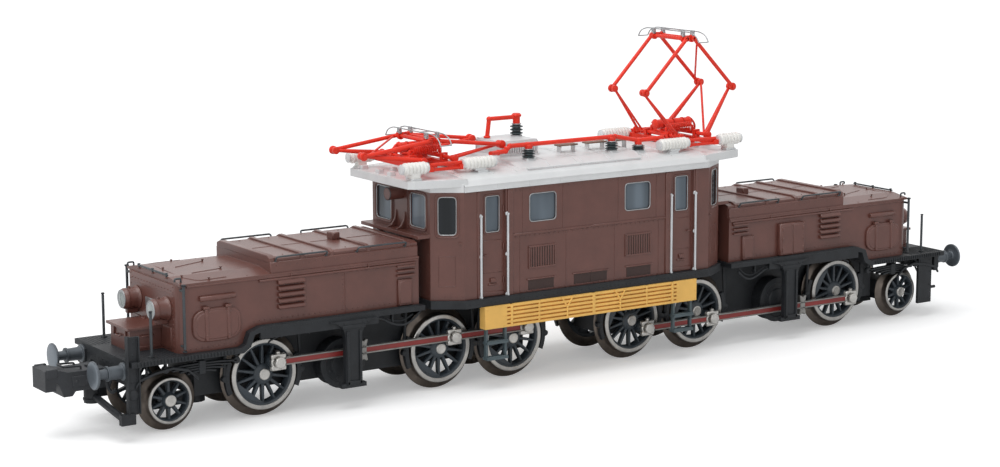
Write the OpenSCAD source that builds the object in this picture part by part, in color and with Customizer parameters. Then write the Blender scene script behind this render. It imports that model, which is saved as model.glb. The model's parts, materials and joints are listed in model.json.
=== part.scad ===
// Articulated electric locomotive, a 1:160 model for 9 mm track.
// X runs along the locomotive, Y across it, Z up from the lowest point of the wheel flanges.

/* [Overall] */
// Half of the length over the buffers
buffer_reach = 63.6; // [58:0.1:78]
// Half of the cab's width over its side walls
cab_half_w = 8.67; // [7.6:0.01:10.5]
// Half of the length of a side wall between its angled corners
side_half_l = 18.1; // [17.2:0.1:21.7]
// Half of the cab's length over its front walls
cab_half_l = 21.4; // [20:0.1:26]
// Height of the roof's edge above the cab sides
eaves_z = 23.87; // [22:0.01:28]

/* [Trucks] */
// Distance of each truck's pivot from the middle
pivot_x = 14.6; // [13.8:0.1:15]
// Distances of the six driving axles from the middle
driver_x = [42.65, 19.21, 8.91];
// Overhang of the front deck beyond the carrying axle
deck_overhang = 5.57; // [5:0.01:7]
// Length of the buffers in front of the deck
buffer_len = 3.73; // [3:0.01:5]
// Half width of a hood
hood_half_w = 6.65; // [5.6:0.01:7.2]
// Length of the open deck in front of a hood
front_deck_l = 6.07; // [5.5:0.01:8]
// Height of the front deck's top
deck_z = 8.9; // [8.8:0.01:9.2]
// Height of the running boards' top
board_z = 11.0; // [10.95:0.01:11.2]
// Thickness of decks and running boards
board_t = 0.6; // [0.5:0.01:0.7]
// Half width of the decks and running boards
board_half_w = 7.6; // [7.4:0.01:8]
// Height of a hood's side walls' top edge
hood_side_z = 16.4; // [15:0.01:17]

/* [Wheels] */
// Radius of a driving wheel's tread
driver_r = 4.1; // [3.8:0.01:4.3]
// Radius of a carrying wheel's tread
carrier_r = 2.65; // [2.2:0.01:2.8]
// Height of a flange above its tread
flange_h = 0.85; // [0.5:0.01:0.9]
// Half of the distance between the backs of a pair of wheels
wheel_back = 3.7; // [3.6:0.01:3.8]
// Width of a wheel
wheel_w = 1.5; // [1.4:0.01:1.6]
// Radius of an axle
axle_r = 0.7; // [0.5:0.01:0.9]
// Distance of a crank pin from its axle
crank_throw = 1.9; // [1.6:0.01:2.1]
// Radius of a crank pin
crank_pin_r = 0.3; // [0.25:0.01:0.35]
// Thickness of a coupling rod
rod_t = 0.55; // [0.4:0.01:0.6]
// Height of a coupling rod
rod_h = 0.8; // [0.6:0.01:0.9]

/* [Pantographs] */
// Distance of each pantograph's middle from the middle of the roof
panto_x = 18.93; // [18:0.01:20]
// Length of a lower arm
lower_l = 7.43; // [6.5:0.01:8]
// Half of the distance between the lower arms' pivots
base_half = 2.14; // [1.8:0.01:2.6]
// Half of the distance between the upper arms' top pivots
apex_half = 0.6; // [0.5:0.01:0.8]
// Height of the lower arms' pivots
base_pivot_z = 27.3; // [27.1:0.01:31]
// Half width of a pantograph across its knees
knee_half_w = 3.4; // [3:0.01:3.8]
// Radius of a pantograph's tubes
tube_r = 0.27; // [0.2:0.01:0.32]
// Rise of the raised pantograph's lower arms, in degrees
raised_angle = 50.2; // [30:0.1:60]
// Rise of the folded pantograph's lower arms, in degrees
folded_angle = 7.7; // [7:0.1:10]

/* [Clearances] */
// Radial clearance of a pin or shaft that turns
pin_gap = 0.06; // [0.04:0.01:0.1]
// Radial clearance of a pivot that closes a linkage
loop_gap = 0.15; // [0.12:0.01:0.2]
// Gap beside a part that turns or swings
side_gap = 0.2; // [0.15:0.01:0.3]
// Radial gap of a wheel on its axle
press_gap = 0.01; // [0.01:0.005:0.02]

/* [Hidden] */
$fn = 48;

// Truck, seen as the one at the +X end
deck_end = buffer_reach - buffer_len;
hood_end = deck_end - front_deck_l;
hood_start = cab_half_l + 1.7;
carrier_x = deck_end - deck_overhang;
driver_z = driver_r + flange_h;
carrier_z = carrier_r + flange_h;
wheel_face = wheel_back + wheel_w;
rod_y = wheel_face + 0.7;
cap_y = rod_y + rod_t + 0.1;
cap_t = 0.45;
column_x = 32.55;
column_w = 2.1;
column_y = cap_y + cap_t + side_gap;
block_half_w = wheel_back - side_gap - 0.2;
step_x = hood_end - 7.3;
pony_pivot_x = carrier_x - 5.3;
beam_t = 0.7;
beam_z0 = deck_z - board_t - 2.2;
beam_half_w = 6.5;
flare_r = 2;
column_foot_z = 2.6;
guard_z = 2.0;
pony_pin_r = 0.6;
pony_bore_top = 4.1;
carrier_top_z = 2 * carrier_z + 0.3;
coupler_pin_x = deck_end + 1.43;
coupler_pin_r = 0.5;
coupler_z = [5.2, 7.4];
coupler_half_w = 1.75;
buffer_y = 5.47;
buffer_z = 7.6;
plate_t = 0.35;
raised_roof_end = step_x - 4.1;
front_pin_angle = 50;
rear_pin_angle = -30;

// Cab
wall_t = 0.7;
front_half_w = cab_half_w - 2.17;
cab_floor_z = 11.15;
skirt_z = 10.2;
skirt_half_w = cab_half_w + 0.5;
roof_t = 0.7;
front_eaves_z = eaves_z + 1.0;
visor_drop = 0.35;
visor_t = 0.9;
roof_half_l = cab_half_l + 3.03;
roof_half_w = cab_half_w + 0.17;
door_x = [12.3, 15.7];
door_recess = 0.3;
window_z = [19.6, 22.93];
window_x = [5.12, 8.91];
door_window_x = [13.05, 14.95];
door_window_z = [18.85, 23.1];
front_window_y = [2.2, 5.5];
front_window_z = [19.5, 23.4];
corner_window_half_l = 1.05;
corner_window_z = [18.9, 23.35];
window_r = 0.5;
small_window_r = 0.3;
glass_t = 0.25;
glass_gap = 0.05;
glass_inset = 0.15;
cooler_half_l = 15.73;
cooler_z = [7.5, skirt_z];
cooler_y = [cab_half_w - 0.37, cab_half_w + 0.78];
step_x_range = [12.4, 15.35];
step_depth = [3.7, cooler_z[0]];
king_pin_r = 1.0;

// Pantographs
upper_l = lower_l + base_half - apex_half;
knee_pin_r = 0.16;
eye_r = 0.42;
foot_z = base_pivot_z - 0.5;
cross_beam_w = 0.7;
insulator_r = 0.75;
insulator_y = 6.1;
inner_insulator_l = 4.6;
outer_insulator_l = 3.6;
conductor_r = 0.27;
conductor_y = -4.5;
conductor_z = 28.15;
post_cap_h = 0.5;
lead_post_x = [-6.2, 6.1, 10.2];
loop_x = [-7.9, -3.9];
box_x = [-8.7, -3.2];
box_y = [-2.2, 3.4];
box_foot_z = eaves_z + 2.73;
box_z = 28.4;
inner_seat_z = eaves_z + 2.1;
inner_insulator_x = panto_x - base_half - cross_beam_w / 2 - inner_insulator_l / 2;
outer_insulator_x = panto_x + base_half + cross_beam_w / 2 + outer_insulator_l / 2;
arm_shaft_r = 0.25;
top_shaft_r = 0.24;
bracket_half_w = 3.0;

// ---------------------------------------------------------------- shared shapes

module slab(x, y, z)
  translate([x[0], y[0], z[0]]) cube([x[1] - x[0], y[1] - y[0], z[1] - z[0]]);

module both_sides() {
  children();
  mirror([0, 1, 0]) children();
}

module both_ends() {
  children();
  rotate([0, 0, 180]) children();
}

module shaft_y(x, z, y, r)
  translate([x, y[1], z]) rotate([90, 0, 0]) cylinder(r = r, h = y[1] - y[0]);

module shaft_x(x, y, z, r)
  translate([x[0], y, z]) rotate([0, 90, 0]) cylinder(r = r, h = x[1] - x[0]);

module post(x, y, z, r)
  translate([x, y, z[0]]) cylinder(r = r, h = z[1] - z[0]);

// A straight tube between two points
module tube(from, to, r) {
  span = to - from;
  reach = norm(span);
  translate(from)
    rotate([0, acos(span[2] / reach), atan2(span[1], span[0])])
      cylinder(r = r, h = reach, $fn = 24);
}

// An outline in X and Z, as thick as the stretch of Y
module side_plate(outline, y)
  translate([0, y[1], 0]) rotate([90, 0, 0]) linear_extrude(y[1] - y[0]) polygon(outline);

// A cut or pane with rounded corners, through the stretch of Y
module side_pane(x, z, y, r)
  translate([0, y[1], 0]) rotate([90, 0, 0]) linear_extrude(y[1] - y[0]) rounded(x, z, r);

// A cut or pane with rounded corners, through the stretch of X
module end_pane(y, z, x, r)
  translate([x[0], 0, 0]) rotate([90, 0, 90]) linear_extrude(x[1] - x[0]) rounded(y, z, r);

module rounded(u, v, r)
  union() {
    translate([u[0] + r, v[0]]) square([u[1] - u[0] - 2 * r, v[1] - v[0]]);
    translate([u[0], v[0] + r]) square([u[1] - u[0], v[1] - v[0] - 2 * r]);
    for (a = [u[0] + r, u[1] - r]) for (b = [v[0] + r, v[1] - r]) translate([a, b]) circle(r);
  }

function grown(span, by) = [span[0] - by, span[1] + by];

// A stretch of Y on the side given, -1 or 1, from its distances to the middle
function outward(side, near, far) = side < 0 ? [-far, -near] : [near, far];

// ---------------------------------------------------------------- cab

function cab_outline(inset) =
  let (s = side_half_l - inset * 0.36, w = cab_half_w - inset, l = cab_half_l - inset,
       f = front_half_w - inset * 0.7)
  [[s, w], [l, f], [l, -f], [s, -w], [-s, -w], [-l, -f], [-l, f], [-s, w]];

// A cut through both side walls, at both ends
module side_openings(x, z, r)
  for (end = [0, 1]) mirror([end, 0, 0])
    side_pane(x, z, [-2 * cab_half_w, 2 * cab_half_w], r);

// A cut or pane in both angled walls at one end
module corner_pane(grow, depth) {
  run = [cab_half_l - side_half_l, front_half_w - cab_half_w];
  both_sides()
    translate([(side_half_l + cab_half_l) / 2, (cab_half_w + front_half_w) / 2, 0])
      rotate([0, 0, atan2(run[1], run[0])])
        side_pane(grown([-corner_window_half_l, corner_window_half_l], grow),
                  grown(corner_window_z, grow), depth, window_r);
}

module cab_body()
  color("saddlebrown") difference() {
    translate([0, 0, cab_floor_z]) linear_extrude(eaves_z - cab_floor_z) polygon(cab_outline(0));
    translate([0, 0, cab_floor_z - 1]) linear_extrude(eaves_z - cab_floor_z + 2)
      polygon(cab_outline(wall_t));
    both_sides() both_ends()
      slab(door_x, [cab_half_w - door_recess, cab_half_w + 1], [cab_floor_z - 1, eaves_z + 1]);
    side_openings(window_x, window_z, window_r);
    side_openings(door_window_x, door_window_z, small_window_r);
    both_ends() {
      corner_pane(0, [-2, 1]);
      both_sides()
        end_pane(front_window_y, front_window_z, [cab_half_l - 2, cab_half_l + 1], window_r);
    }
  }

module side_windows(side)
  color("slategray") for (end = [0, 1]) mirror([end, 0, 0]) {
    face = cab_half_w - glass_inset;
    side_pane(grown(window_x, -glass_gap), grown(window_z, -glass_gap),
              outward(side, face - glass_t, face), window_r - glass_gap);
    side_pane(grown(door_window_x, -glass_gap), grown(door_window_z, -glass_gap),
              outward(side, face - glass_t - door_recess, face - door_recess),
              small_window_r - glass_gap);
  }

module side_windows_left() side_windows(-1);
module side_windows_right() side_windows(1);

module end_windows()
  color("slategray") {
    face = cab_half_l - glass_inset;
    both_sides()
      end_pane(grown(front_window_y, -glass_gap), grown(front_window_z, -glass_gap),
               [face - glass_t, face], window_r - glass_gap);
    corner_pane(-glass_gap, [-glass_inset - glass_t, -glass_inset]);
  }

module end_windows_front() rotate([0, 0, 180]) end_windows();
module end_windows_rear() end_windows();

// The roof's edge follows the side walls and widens to a visor over each end
module cab_roof()
  color("silver") difference() {
    union() {
      side_roof();
      visors();
      raised_roof();
      roof_seats();
    }
    translate([0, 0, eaves_z - 1]) linear_extrude(1 + roof_t) polygon(cab_outline(wall_t));
  }

module side_roof() {
  crown = 2.3;
  rotate([90, 0, 90]) translate([0, 0, -side_half_l]) linear_extrude(2 * side_half_l)
    polygon(concat(
      [[roof_half_w, eaves_z], [roof_half_w, eaves_z + 0.75]],
      [for (a = [80 : -10 : -80]) [roof_half_w * 0.96 * sin(a), eaves_z + 1.1 + (crown - 1.1) * cos(a)]],
      [[-roof_half_w, eaves_z + 0.75], [-roof_half_w, eaves_z]]));
}

module visors() {
  w = front_half_w + 0.64;
  root_x = side_half_l - 0.5;
  both_ends() {
    translate([0, 0, front_eaves_z - visor_drop]) linear_extrude(visor_t)
      polygon([[root_x, roof_half_w - 0.15], [roof_half_l - 0.6, w], [roof_half_l, w - 0.6],
               [roof_half_l, -w + 0.6], [roof_half_l - 0.6, -w], [root_x, -roof_half_w + 0.15]]);
    translate([0, 0, eaves_z]) linear_extrude(1)
      polygon([[root_x, cab_half_w], [side_half_l, cab_half_w], [cab_half_l, front_half_w],
               [cab_half_l, -front_half_w], [side_half_l, -cab_half_w], [root_x, -cab_half_w]]);
  }
}

// Flat seats for what stands on the curved roof
module roof_seats() {
  foot = eaves_z + 1;
  for (x = lead_post_x)
    slab(grown([x, x], 0.6), grown([conductor_y, conductor_y], 0.6), [foot, seat_z(x)]);
  slab(grown(box_x, 0.1), grown(box_y, 0.1), [foot, box_foot_z]);
  both_sides() both_ends()
    slab(grown([inner_insulator_x, inner_insulator_x], 0.7), grown([insulator_y, insulator_y], 0.6),
         [foot, inner_seat_z]);
}

module raised_roof() {
  half_l = 9.2;
  foot_y = 8;
  shoulder_y = 5.2;
  rotate([90, 0, 90]) translate([0, 0, -half_l]) linear_extrude(2 * half_l)
    polygon([[-foot_y, eaves_z + 1], [-foot_y + 0.2, eaves_z + 1.4], [-shoulder_y, eaves_z + 2.4],
             [0, eaves_z + 2.7], [shoulder_y, eaves_z + 2.4], [foot_y - 0.2, eaves_z + 1.4],
             [foot_y, eaves_z + 1]]);
}

module underframe()
  color("dimgray") difference() {
    slab([-cab_half_l - 0.2, cab_half_l + 0.2], [-skirt_half_w, skirt_half_w], [skirt_z, cab_floor_z]);
    both_sides() both_ends()
      translate([side_half_l, skirt_half_w, skirt_z - 1])
        rotate([0, 0, atan2(front_half_w - cab_half_w, cab_half_l - side_half_l)]) cube([9, 9, 3]);
  }

module king_pins()
  color("dimgray") for (end = [-1, 1]) post(end * pivot_x, 0, [6.6, skirt_z], king_pin_r);

// ---------------------------------------------------------------- below the cab

module cooler(side) {
  gaps = 5;
  rib_h = 0.3;
  gap_h = (cooler_z[1] - cooler_z[0] - (gaps + 1) * rib_h) / gaps;
  gap_half_l = 12.63;
  color("goldenrod") difference() {
    slab([-cooler_half_l, cooler_half_l], outward(side, cooler_y[0], cooler_y[1]), cooler_z);
    for (i = [0 : gaps - 1]) {
      z0 = cooler_z[0] + rib_h + i * (rib_h + gap_h);
      slab([-gap_half_l, gap_half_l], outward(side, cooler_y[1] - 0.35, cooler_y[1] + 1),
           [z0, z0 + gap_h]);
    }
  }
}

module cooler_left() cooler(-1);
module cooler_right() cooler(1);

module cab_steps()
  color("slategray")
    both_sides() both_ends() {
      y = cab_half_w - 0.1;
      for (x = [step_x_range[0], step_x_range[1] - 0.3])
        slab([x, x + 0.3], [y, y + 0.45], step_depth);
      for (z = [step_depth[0], step_depth[0] + 1.9])
        slab([step_x_range[0], step_x_range[1]], [y - 0.25, y + 0.8], [z, z + 0.3]);
    }

module cab_handrails()
  color("gainsboro")
    both_sides() both_ends() for (x = grown(door_x, 0.17)) {
      post(x, cab_half_w + 0.22, [11.25, 20.9], 0.14);
      for (z = [11.3, 20.9]) shaft_y(x, z, [cab_half_w, cab_half_w + 0.36], 0.14);
    }

module cab_lamps()
  color("saddlebrown") both_ends() {
    shaft_x([cab_half_l, cab_half_l + 1.9], 0, 23.1, 0.75);
    slab([cab_half_l, cab_half_l + 1.66], [-front_half_w, front_half_w], [18.55, 18.95]);
  }

// ---------------------------------------------------------------- roof equipment

// A bent rod through the points given
module bent_rod(points, r)
  for (i = [1 : len(points) - 1]) {
    tube(points[i - 1], points[i], r);
    translate(points[i]) rotate([35, 50, 0]) sphere(r + 0.06);
  }

// One lead joins the two pantographs, and a higher loop starts on the resistor box
module roof_conductors()
  color("orangered") {
    y = conductor_y;
    z = conductor_z;
    bent_rod([[-12.2, y - 0.8, foot_z + 0.8], [-10.6, y, foot_z + 0.7], [-9.5, y, foot_z + 0.8],
              [-8.9, y, z], [6.6, y, z], [10.2, y, foot_z + 0.6], [13.2, y - 0.8, foot_z + 0.8]],
             conductor_r);
    for (x = lead_post_x) post(x, y, [insulator_top(x), insulator_top(x) + post_cap_h], 0.45);
    loop_end = [loop_x[1], box_y[1] - 1.9, box_z + 2.3];
    bent_rod([[loop_x[0] - 0.3, loop_end[1], box_z], [loop_x[0], loop_end[1], loop_end[2]], loop_end],
             conductor_r);
    post(loop_end[0], loop_end[1], [box_z + 1.5, loop_end[2] + 0.45], 0.45);
  }

function seat_z(x) = abs(x) < 9 ? eaves_z + 2.6 : eaves_z + 2.3;
function insulator_top(x) = abs(x) < 9 ? conductor_z - post_cap_h : foot_z + 0.1;

module ribbed_insulator(x, y, z) {
  ribs = 3;
  pitch = (z[1] - z[0]) / ribs;
  post(x, y, z, 0.5);
  for (i = [0 : ribs - 1]) post(x, y, [z[0] + (i + 0.3) * pitch, z[0] + (i + 0.8) * pitch], 0.8);
}

module roof_insulators()
  color("darkslategray") {
    for (x = lead_post_x) ribbed_insulator(x, conductor_y, [seat_z(x), insulator_top(x)]);
    ribbed_insulator(loop_x[1], box_y[1] - 1.9, [box_z, box_z + 1.5]);
  }

// Ribbed cylinders lie along X and stand on a block each
module pantograph_insulators()
  color("ivory") both_sides() both_ends() {
    lying_insulator(inner_insulator_x, inner_insulator_l, inner_seat_z);
    lying_insulator(outer_insulator_x, outer_insulator_l, front_eaves_z + visor_t - visor_drop);
  }

module lying_insulator(x, l, seat) {
  shaft_x([x - l / 2, x + l / 2], insulator_y, foot_z, insulator_r);
  slab([x - 0.6, x + 0.6], [insulator_y - 0.5, insulator_y + 0.5], [seat, foot_z - 0.3]);
}

module resistor_box()
  color("silver") slab(box_x, box_y, [box_foot_z, box_z]);

// The base frame carries the shafts of the lower arms
module pantograph_base()
  color("orangered") {
    drum_r = 0.55;
    drum_z = base_pivot_z + 1.2;
    for (side = [-1, 1]) for (dz = [-0.35, 0.25])
      shaft_x([-base_half, base_half], side * insulator_y, foot_z + dz, 0.2);
    for (dx = [-base_half, base_half])
      slab([dx - cross_beam_w / 2, dx + cross_beam_w / 2], [-insulator_y - 0.3, insulator_y + 0.3],
           [foot_z - 0.55, foot_z + 0.05]);
    for (dx = [-base_half, base_half]) for (y = [-2.25, 2.25]) difference() {
      slab([dx - 0.45, dx + 0.45], [y - 0.2, y + 0.2], [foot_z, base_pivot_z + 0.45]);
      shaft_y(dx, base_pivot_z, [y - 1, y + 1], arm_shaft_r + pin_gap);
    }
    shaft_x([-2.6, 2.6], 0, drum_z, drum_r);
    slab([-0.35, 0.35], [-0.4, 0.4], [foot_z - 0.3, drum_z - 0.3]);
    shaft_x([-base_half, base_half], 0, foot_z - 0.1, 0.2);
  }

module pantograph_base_front() translate([-panto_x, 0, 0]) pantograph_base();
module pantograph_base_rear() translate([panto_x, 0, 0]) pantograph_base();

// Arms, seen from -Y, with side -1 for the arm at -X
function knee(side, angle) =
  [side * (base_half + lower_l * cos(angle)), base_pivot_z + lower_l * sin(angle)];
function apex(side, angle) =
  let (k = knee(side, angle), rise = upper_angle(angle))
  [k[0] - side * upper_l * cos(rise), k[1] + upper_l * sin(rise)];
function upper_angle(angle) = 2 * asin(sqrt(lower_l / upper_l) * sin(angle / 2));

module lower_arm(side, angle) {
  k = knee(side, angle);
  foot = [side * base_half, base_pivot_z];
  color("orangered") {
    shaft_y(foot[0], foot[1], [-knee_half_w + 0.3, knee_half_w - 0.3], arm_shaft_r);
    for (y = [-1, 1]) {
      tube([foot[0], y * (knee_half_w - 0.5), foot[1]], [k[0], y * (knee_half_w - 0.5), k[1]], tube_r);
      shaft_y(k[0], k[1], outward(y, knee_half_w - 0.7, knee_half_w - 0.2), eye_r);
      shaft_y(k[0], k[1], outward(y, knee_half_w - 0.7, knee_half_w + 0.5), knee_pin_r);
    }
  }
}

module upper_arm(side, angle) {
  k = knee(side, angle);
  a = apex(side, angle);
  y_eye = knee_half_w - 0.1;
  color("orangered") difference() {
    union() {
      for (y = [-1, 1]) {
        shaft_y(k[0], k[1], outward(y, y_eye, y_eye + 0.5), eye_r);
        tube([k[0], y * (y_eye + 0.25), k[1]], [a[0], y * (y_eye + 0.25), a[1]], tube_r * 0.9);
      }
      shaft_y(a[0], a[1], [-y_eye - 0.45, y_eye + 0.45], top_shaft_r);
    }
    shaft_y(k[0], k[1], [-9, 9], knee_pin_r + pin_gap);
  }
}

module collector(angle) {
  a = apex(-1, angle);
  b = apex(1, angle);
  top = a[1] + 0.75;
  wire_r = 0.18;
  color("orangered") for (y = [-bracket_half_w, bracket_half_w]) difference() {
    slab([a[0] - 0.55, b[0] + 0.55], [y - 0.2, y + 0.2], [a[1] - 0.5, top]);
    shaft_y(a[0], a[1], [y - 1, y + 1], top_shaft_r + pin_gap);
    shaft_y(b[0], b[1], [y - 1, y + 1], top_shaft_r + loop_gap);
  }
  color("silver") for (x = [-0.75, 0.75]) {
    shaft_y(x, top + wire_r, [-4.4, 4.4], wire_r);
    for (side = [-1, 1]) {
      tube([x, side * 4.35, top + wire_r], [x, side * 5.6, top - 0.35], wire_r - 0.02);
      tube([x, side * 5.55, top - 0.33], [x, side * 6.2, top - 1.2], wire_r - 0.02);
    }
  }
}

module lower_arm_front_a() translate([-panto_x, 0, 0]) lower_arm(-1, folded_angle);
module lower_arm_front_b() translate([-panto_x, 0, 0]) lower_arm(1, folded_angle);
module upper_arm_front_a() translate([-panto_x, 0, 0]) upper_arm(-1, folded_angle);
module upper_arm_front_b() translate([-panto_x, 0, 0]) upper_arm(1, folded_angle);
module collector_front() translate([-panto_x, 0, 0]) collector(folded_angle);
module lower_arm_rear_a() translate([panto_x, 0, 0]) lower_arm(-1, raised_angle);
module lower_arm_rear_b() translate([panto_x, 0, 0]) lower_arm(1, raised_angle);
module upper_arm_rear_a() translate([panto_x, 0, 0]) upper_arm(-1, raised_angle);
module upper_arm_rear_b() translate([panto_x, 0, 0]) upper_arm(1, raised_angle);
module collector_rear() translate([panto_x, 0, 0]) collector(raised_angle);

// ---------------------------------------------------------------- truck, at the +X end

// The running boards come from the cab and step down to the front deck
function deck_curve(offset) = [
  [step_x - 2.2 - offset / 3, board_z - offset], [step_x - 0.9 - offset, board_z - 0.5 - offset / 2],
  [step_x - 0.4 - offset, deck_z + 0.3 - offset / 2], [step_x + 0.2 - offset / 2, deck_z - offset]];

function reversed(list) = [for (i = [len(list) - 1 : -1 : 0]) list[i]];

// A column hangs from the running board, with round flares at its top
module guide_column(y) {
  half_w = column_w / 2;
  top = board_z - board_t;
  corner = [for (a = [90 : 15 : 180])
    [half_w + flare_r + flare_r * cos(a), top - flare_r + flare_r * sin(a)]];
  side = concat(corner, [[half_w, column_foot_z]]);
  translate([column_x, 0, 0]) {
    side_plate(concat(side, reversed([for (p = side) [-p[0], p[1]]])), y);
    slab([-1.6, 1.6], y, [column_foot_z, column_foot_z + 0.5]);
  }
}

module truck_frame()
  color("dimgray") {
    wheel_room = driver_r + flange_h + 0.3;
    spine_top = board_z - board_t;
    difference() {
      union() {
        side_plate(concat([[hood_start - 0.3, board_z]], deck_curve(0), [[deck_end, deck_z]],
                          [[deck_end, deck_z - board_t]], reversed(deck_curve(board_t)),
                          [[hood_start - 0.3, board_z - board_t]]), [-board_half_w, board_half_w]);
        slab([6.2, 50.5], [-block_half_w, block_half_w], [3.1, skirt_z - 1.3]);
        slab([23.5, 41], [-block_half_w, block_half_w], [8.8, spine_top]);
        slab([45, deck_end - 0.5], [-block_half_w, block_half_w], [carrier_top_z, deck_z - board_t]);
        slab([deck_end - beam_t, deck_end], [-beam_half_w, beam_half_w], [beam_z0, deck_z - board_t]);
        for (side = [-1, 1]) {
          slab([hood_start + 6, step_x - 2.2], outward(side, column_y, column_y + 0.4),
               [spine_top - 0.8, spine_top]);
          guide_column(outward(side, column_y, column_y + 0.7));
        }
      }
      for (x = driver_x) shaft_y(x, driver_z, [-9, 9], axle_r + pin_gap);
      post(pivot_x, 0, [0, 12], king_pin_r + pin_gap);
      post(pony_pivot_x, 0, [0, pony_bore_top], pony_pin_r + pin_gap);
      for (side = [-1, 1])
        slab([driver_x[0] - wheel_room, driver_x[0] + wheel_room],
             outward(side, wheel_back - 0.25, wheel_face + 0.3), [0, driver_z + wheel_room - 0.1]);
    }
  }

// A post and a wider plate stand at the two front corners, clear of the carrying wheels
module rail_guards(hooked)
  color("dimgray") {
    inner = beam_half_w + 0.1;
    top = deck_z - board_t;
    slab([deck_end, deck_end + 0.35], [inner, inner + 0.4], [guard_z, deck_z + 2.8]);
    slab([deck_end - 0.75, deck_end], [inner, inner + 0.4], [guard_z + 1.8, top]);
    slab([deck_end - 0.5, deck_end + 1.2], [inner - 0.1, inner + 0.6], [guard_z, guard_z + 1.2]);
    slab([deck_end - 4.05, deck_end - 1.65], [-inner - 0.4, -inner], [guard_z, top]);
    shaft_x([deck_end - 1.65, deck_end - 0.85], -inner - 0.2, guard_z + 2, 0.2);
    if (hooked) {
      tube([coupler_pin_x, 0, guard_z + 2.2], [deck_end + 0.8, inner, guard_z + 0.7], 0.4);
      post(coupler_pin_x, 0, [guard_z + 1.3, coupler_z[0] - 0.05], 0.9);
      post(coupler_pin_x, 0, [guard_z + 1.3, coupler_z[1]], coupler_pin_r);
    }
  }

// Side walls between rounded corners, a low front roof and a raised roof behind it
module hood()
  color("saddlebrown") difference() {
    w = hood_half_w;
    r = 1.2;
    corner = [for (a = [0 : 15 : 90]) [hood_end - r + r * cos(a), w - r + r * sin(a)]];
    union() {
      linear_extrude(hood_side_z)
        polygon(concat(corner, [[hood_start, w], [hood_start, -w]],
                       reversed([for (p = corner) [p[0], -p[1]]])));
      hood_roof(hood_end - 0.2, w + 0.1, 0, 0.25, 0.7, 4);
      hood_roof(raised_roof_end, w - 0.3, 0.2, 1.8, 2.0, 5.8);
    }
    side_plate(concat([[0, -1], [hood_end + 1, -1], [hood_end + 1, deck_z]], reversed(deck_curve(0)),
                      [[0, board_z]]), [-w - 2, w + 2]);
  }

// A roof with sloping sides, from its foot to its eaves and ridge above the side walls
module hood_roof(end, half_w, foot, eaves, ridge, ridge_half_w)
  rotate([90, 0, 90]) translate([0, hood_side_z, hood_start]) linear_extrude(end - hood_start)
    polygon([[-half_w, foot], [-half_w, eaves], [-ridge_half_w, ridge], [ridge_half_w, ridge],
             [half_w, eaves], [half_w, foot]]);

module buffers()
  color("gray") for (side = [-1, 1]) {
    y = side * buffer_y;
    shaft_x([deck_end, deck_end + 2.0], y, buffer_z, 0.75);
    shaft_x([deck_end + 2.0, buffer_reach - plate_t], y, buffer_z, 0.55);
    shaft_x([buffer_reach - plate_t, buffer_reach], y, buffer_z, 1.55);
  }

module headlamps()
  color("saddlebrown") for (side = [-1, 1])
    shaft_x([hood_end, hood_end + 1.95], side * 3.75, 13.58, 1.25);

module toolbox()
  color("saddlebrown") {
    lid_z = deck_z + 2.4;
    slab([hood_end, hood_end + 3.9], [-2.5, 2.5], [deck_z, lid_z]);
    slab([hood_end, hood_end + 4.3], [-2.85, 2.85], [lid_z, lid_z + 0.3]);
  }

// Poles on the front deck and grab rails at the hood's front corners
module hood_rails()
  color("darkslategray")
    for (side = [-1, 1]) {
      post(hood_end + 3.1, side * 6.2, [deck_z, deck_z + 4.9], 0.16);
      post(hood_end - 0.4, side * (hood_half_w + 0.6), [deck_z + 0.6, hood_side_z + 0.2], 0.16);
      for (z = [deck_z + 0.9, hood_side_z - 0.4])
        shaft_y(hood_end - 0.4, z, outward(side, hood_half_w - 0.2, hood_half_w + 0.65), 0.14);
    }

// Round housings of the drive between the first and second driving axles
module motor()
  color("dimgray") for (side = [-1, 1])
    shaft_y(column_x, driver_z, outward(side, block_half_w, wheel_face), 2.85);

module pony_truck()
  color("dimgray") difference() {
    half_w = block_half_w - 0.3;
    union() {
      slab([carrier_x - 1.6, carrier_x + 1.6], [-half_w, half_w], [2.2, 4.8]);
      slab([pony_pivot_x - 0.8, carrier_x - 1.5], [-1, 1], [1.8, 2.9]);
      post(pony_pivot_x, 0, [1.8, 2.9], 1.3);
      post(pony_pivot_x, 0, [2.8, pony_bore_top - 0.2], pony_pin_r);
    }
    shaft_y(carrier_x, carrier_z, [-5, 5], axle_r + pin_gap);
  }

// An axle, on which two wheels are pressed
module axle(x, z)
  shaft_y(x, z, [-wheel_face - 0.15, wheel_face + 0.15], axle_r);

// A wheel on the side given: a turned ring, a hub and the spokes between them
module wheel(x, z, r, spokes, hub_r, side) {
  ring_r = r * 0.86;
  flange_w = 0.55;
  translate([x, 0, z]) mirror([0, side < 0 ? 1 : 0, 0]) difference() {
    union() {
      rotate([-90, 0, 0]) rotate_extrude($fn = 96) polygon([
        [ring_r, wheel_back], [r + flange_h - 0.2, wheel_back], [r + flange_h, wheel_back + 0.2],
        [r + flange_h - 0.1, wheel_back + 0.35], [r + 0.1, wheel_back + flange_w],
        [r, wheel_back + flange_w + 0.1], [r, wheel_face], [ring_r, wheel_face]]);
      shaft_y(0, 0, [wheel_back, wheel_face + 0.1], hub_r);
      for (i = [0 : spokes - 1]) rotate([0, i * 360 / spokes, 0])
        slab([hub_r * 0.8, ring_r + 0.1], [wheel_back + 0.5, wheel_face - 0.35], [-0.17, 0.17]);
    }
    shaft_y(0, 0, [0, wheel_face + 1], axle_r + press_gap);
  }
}

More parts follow.
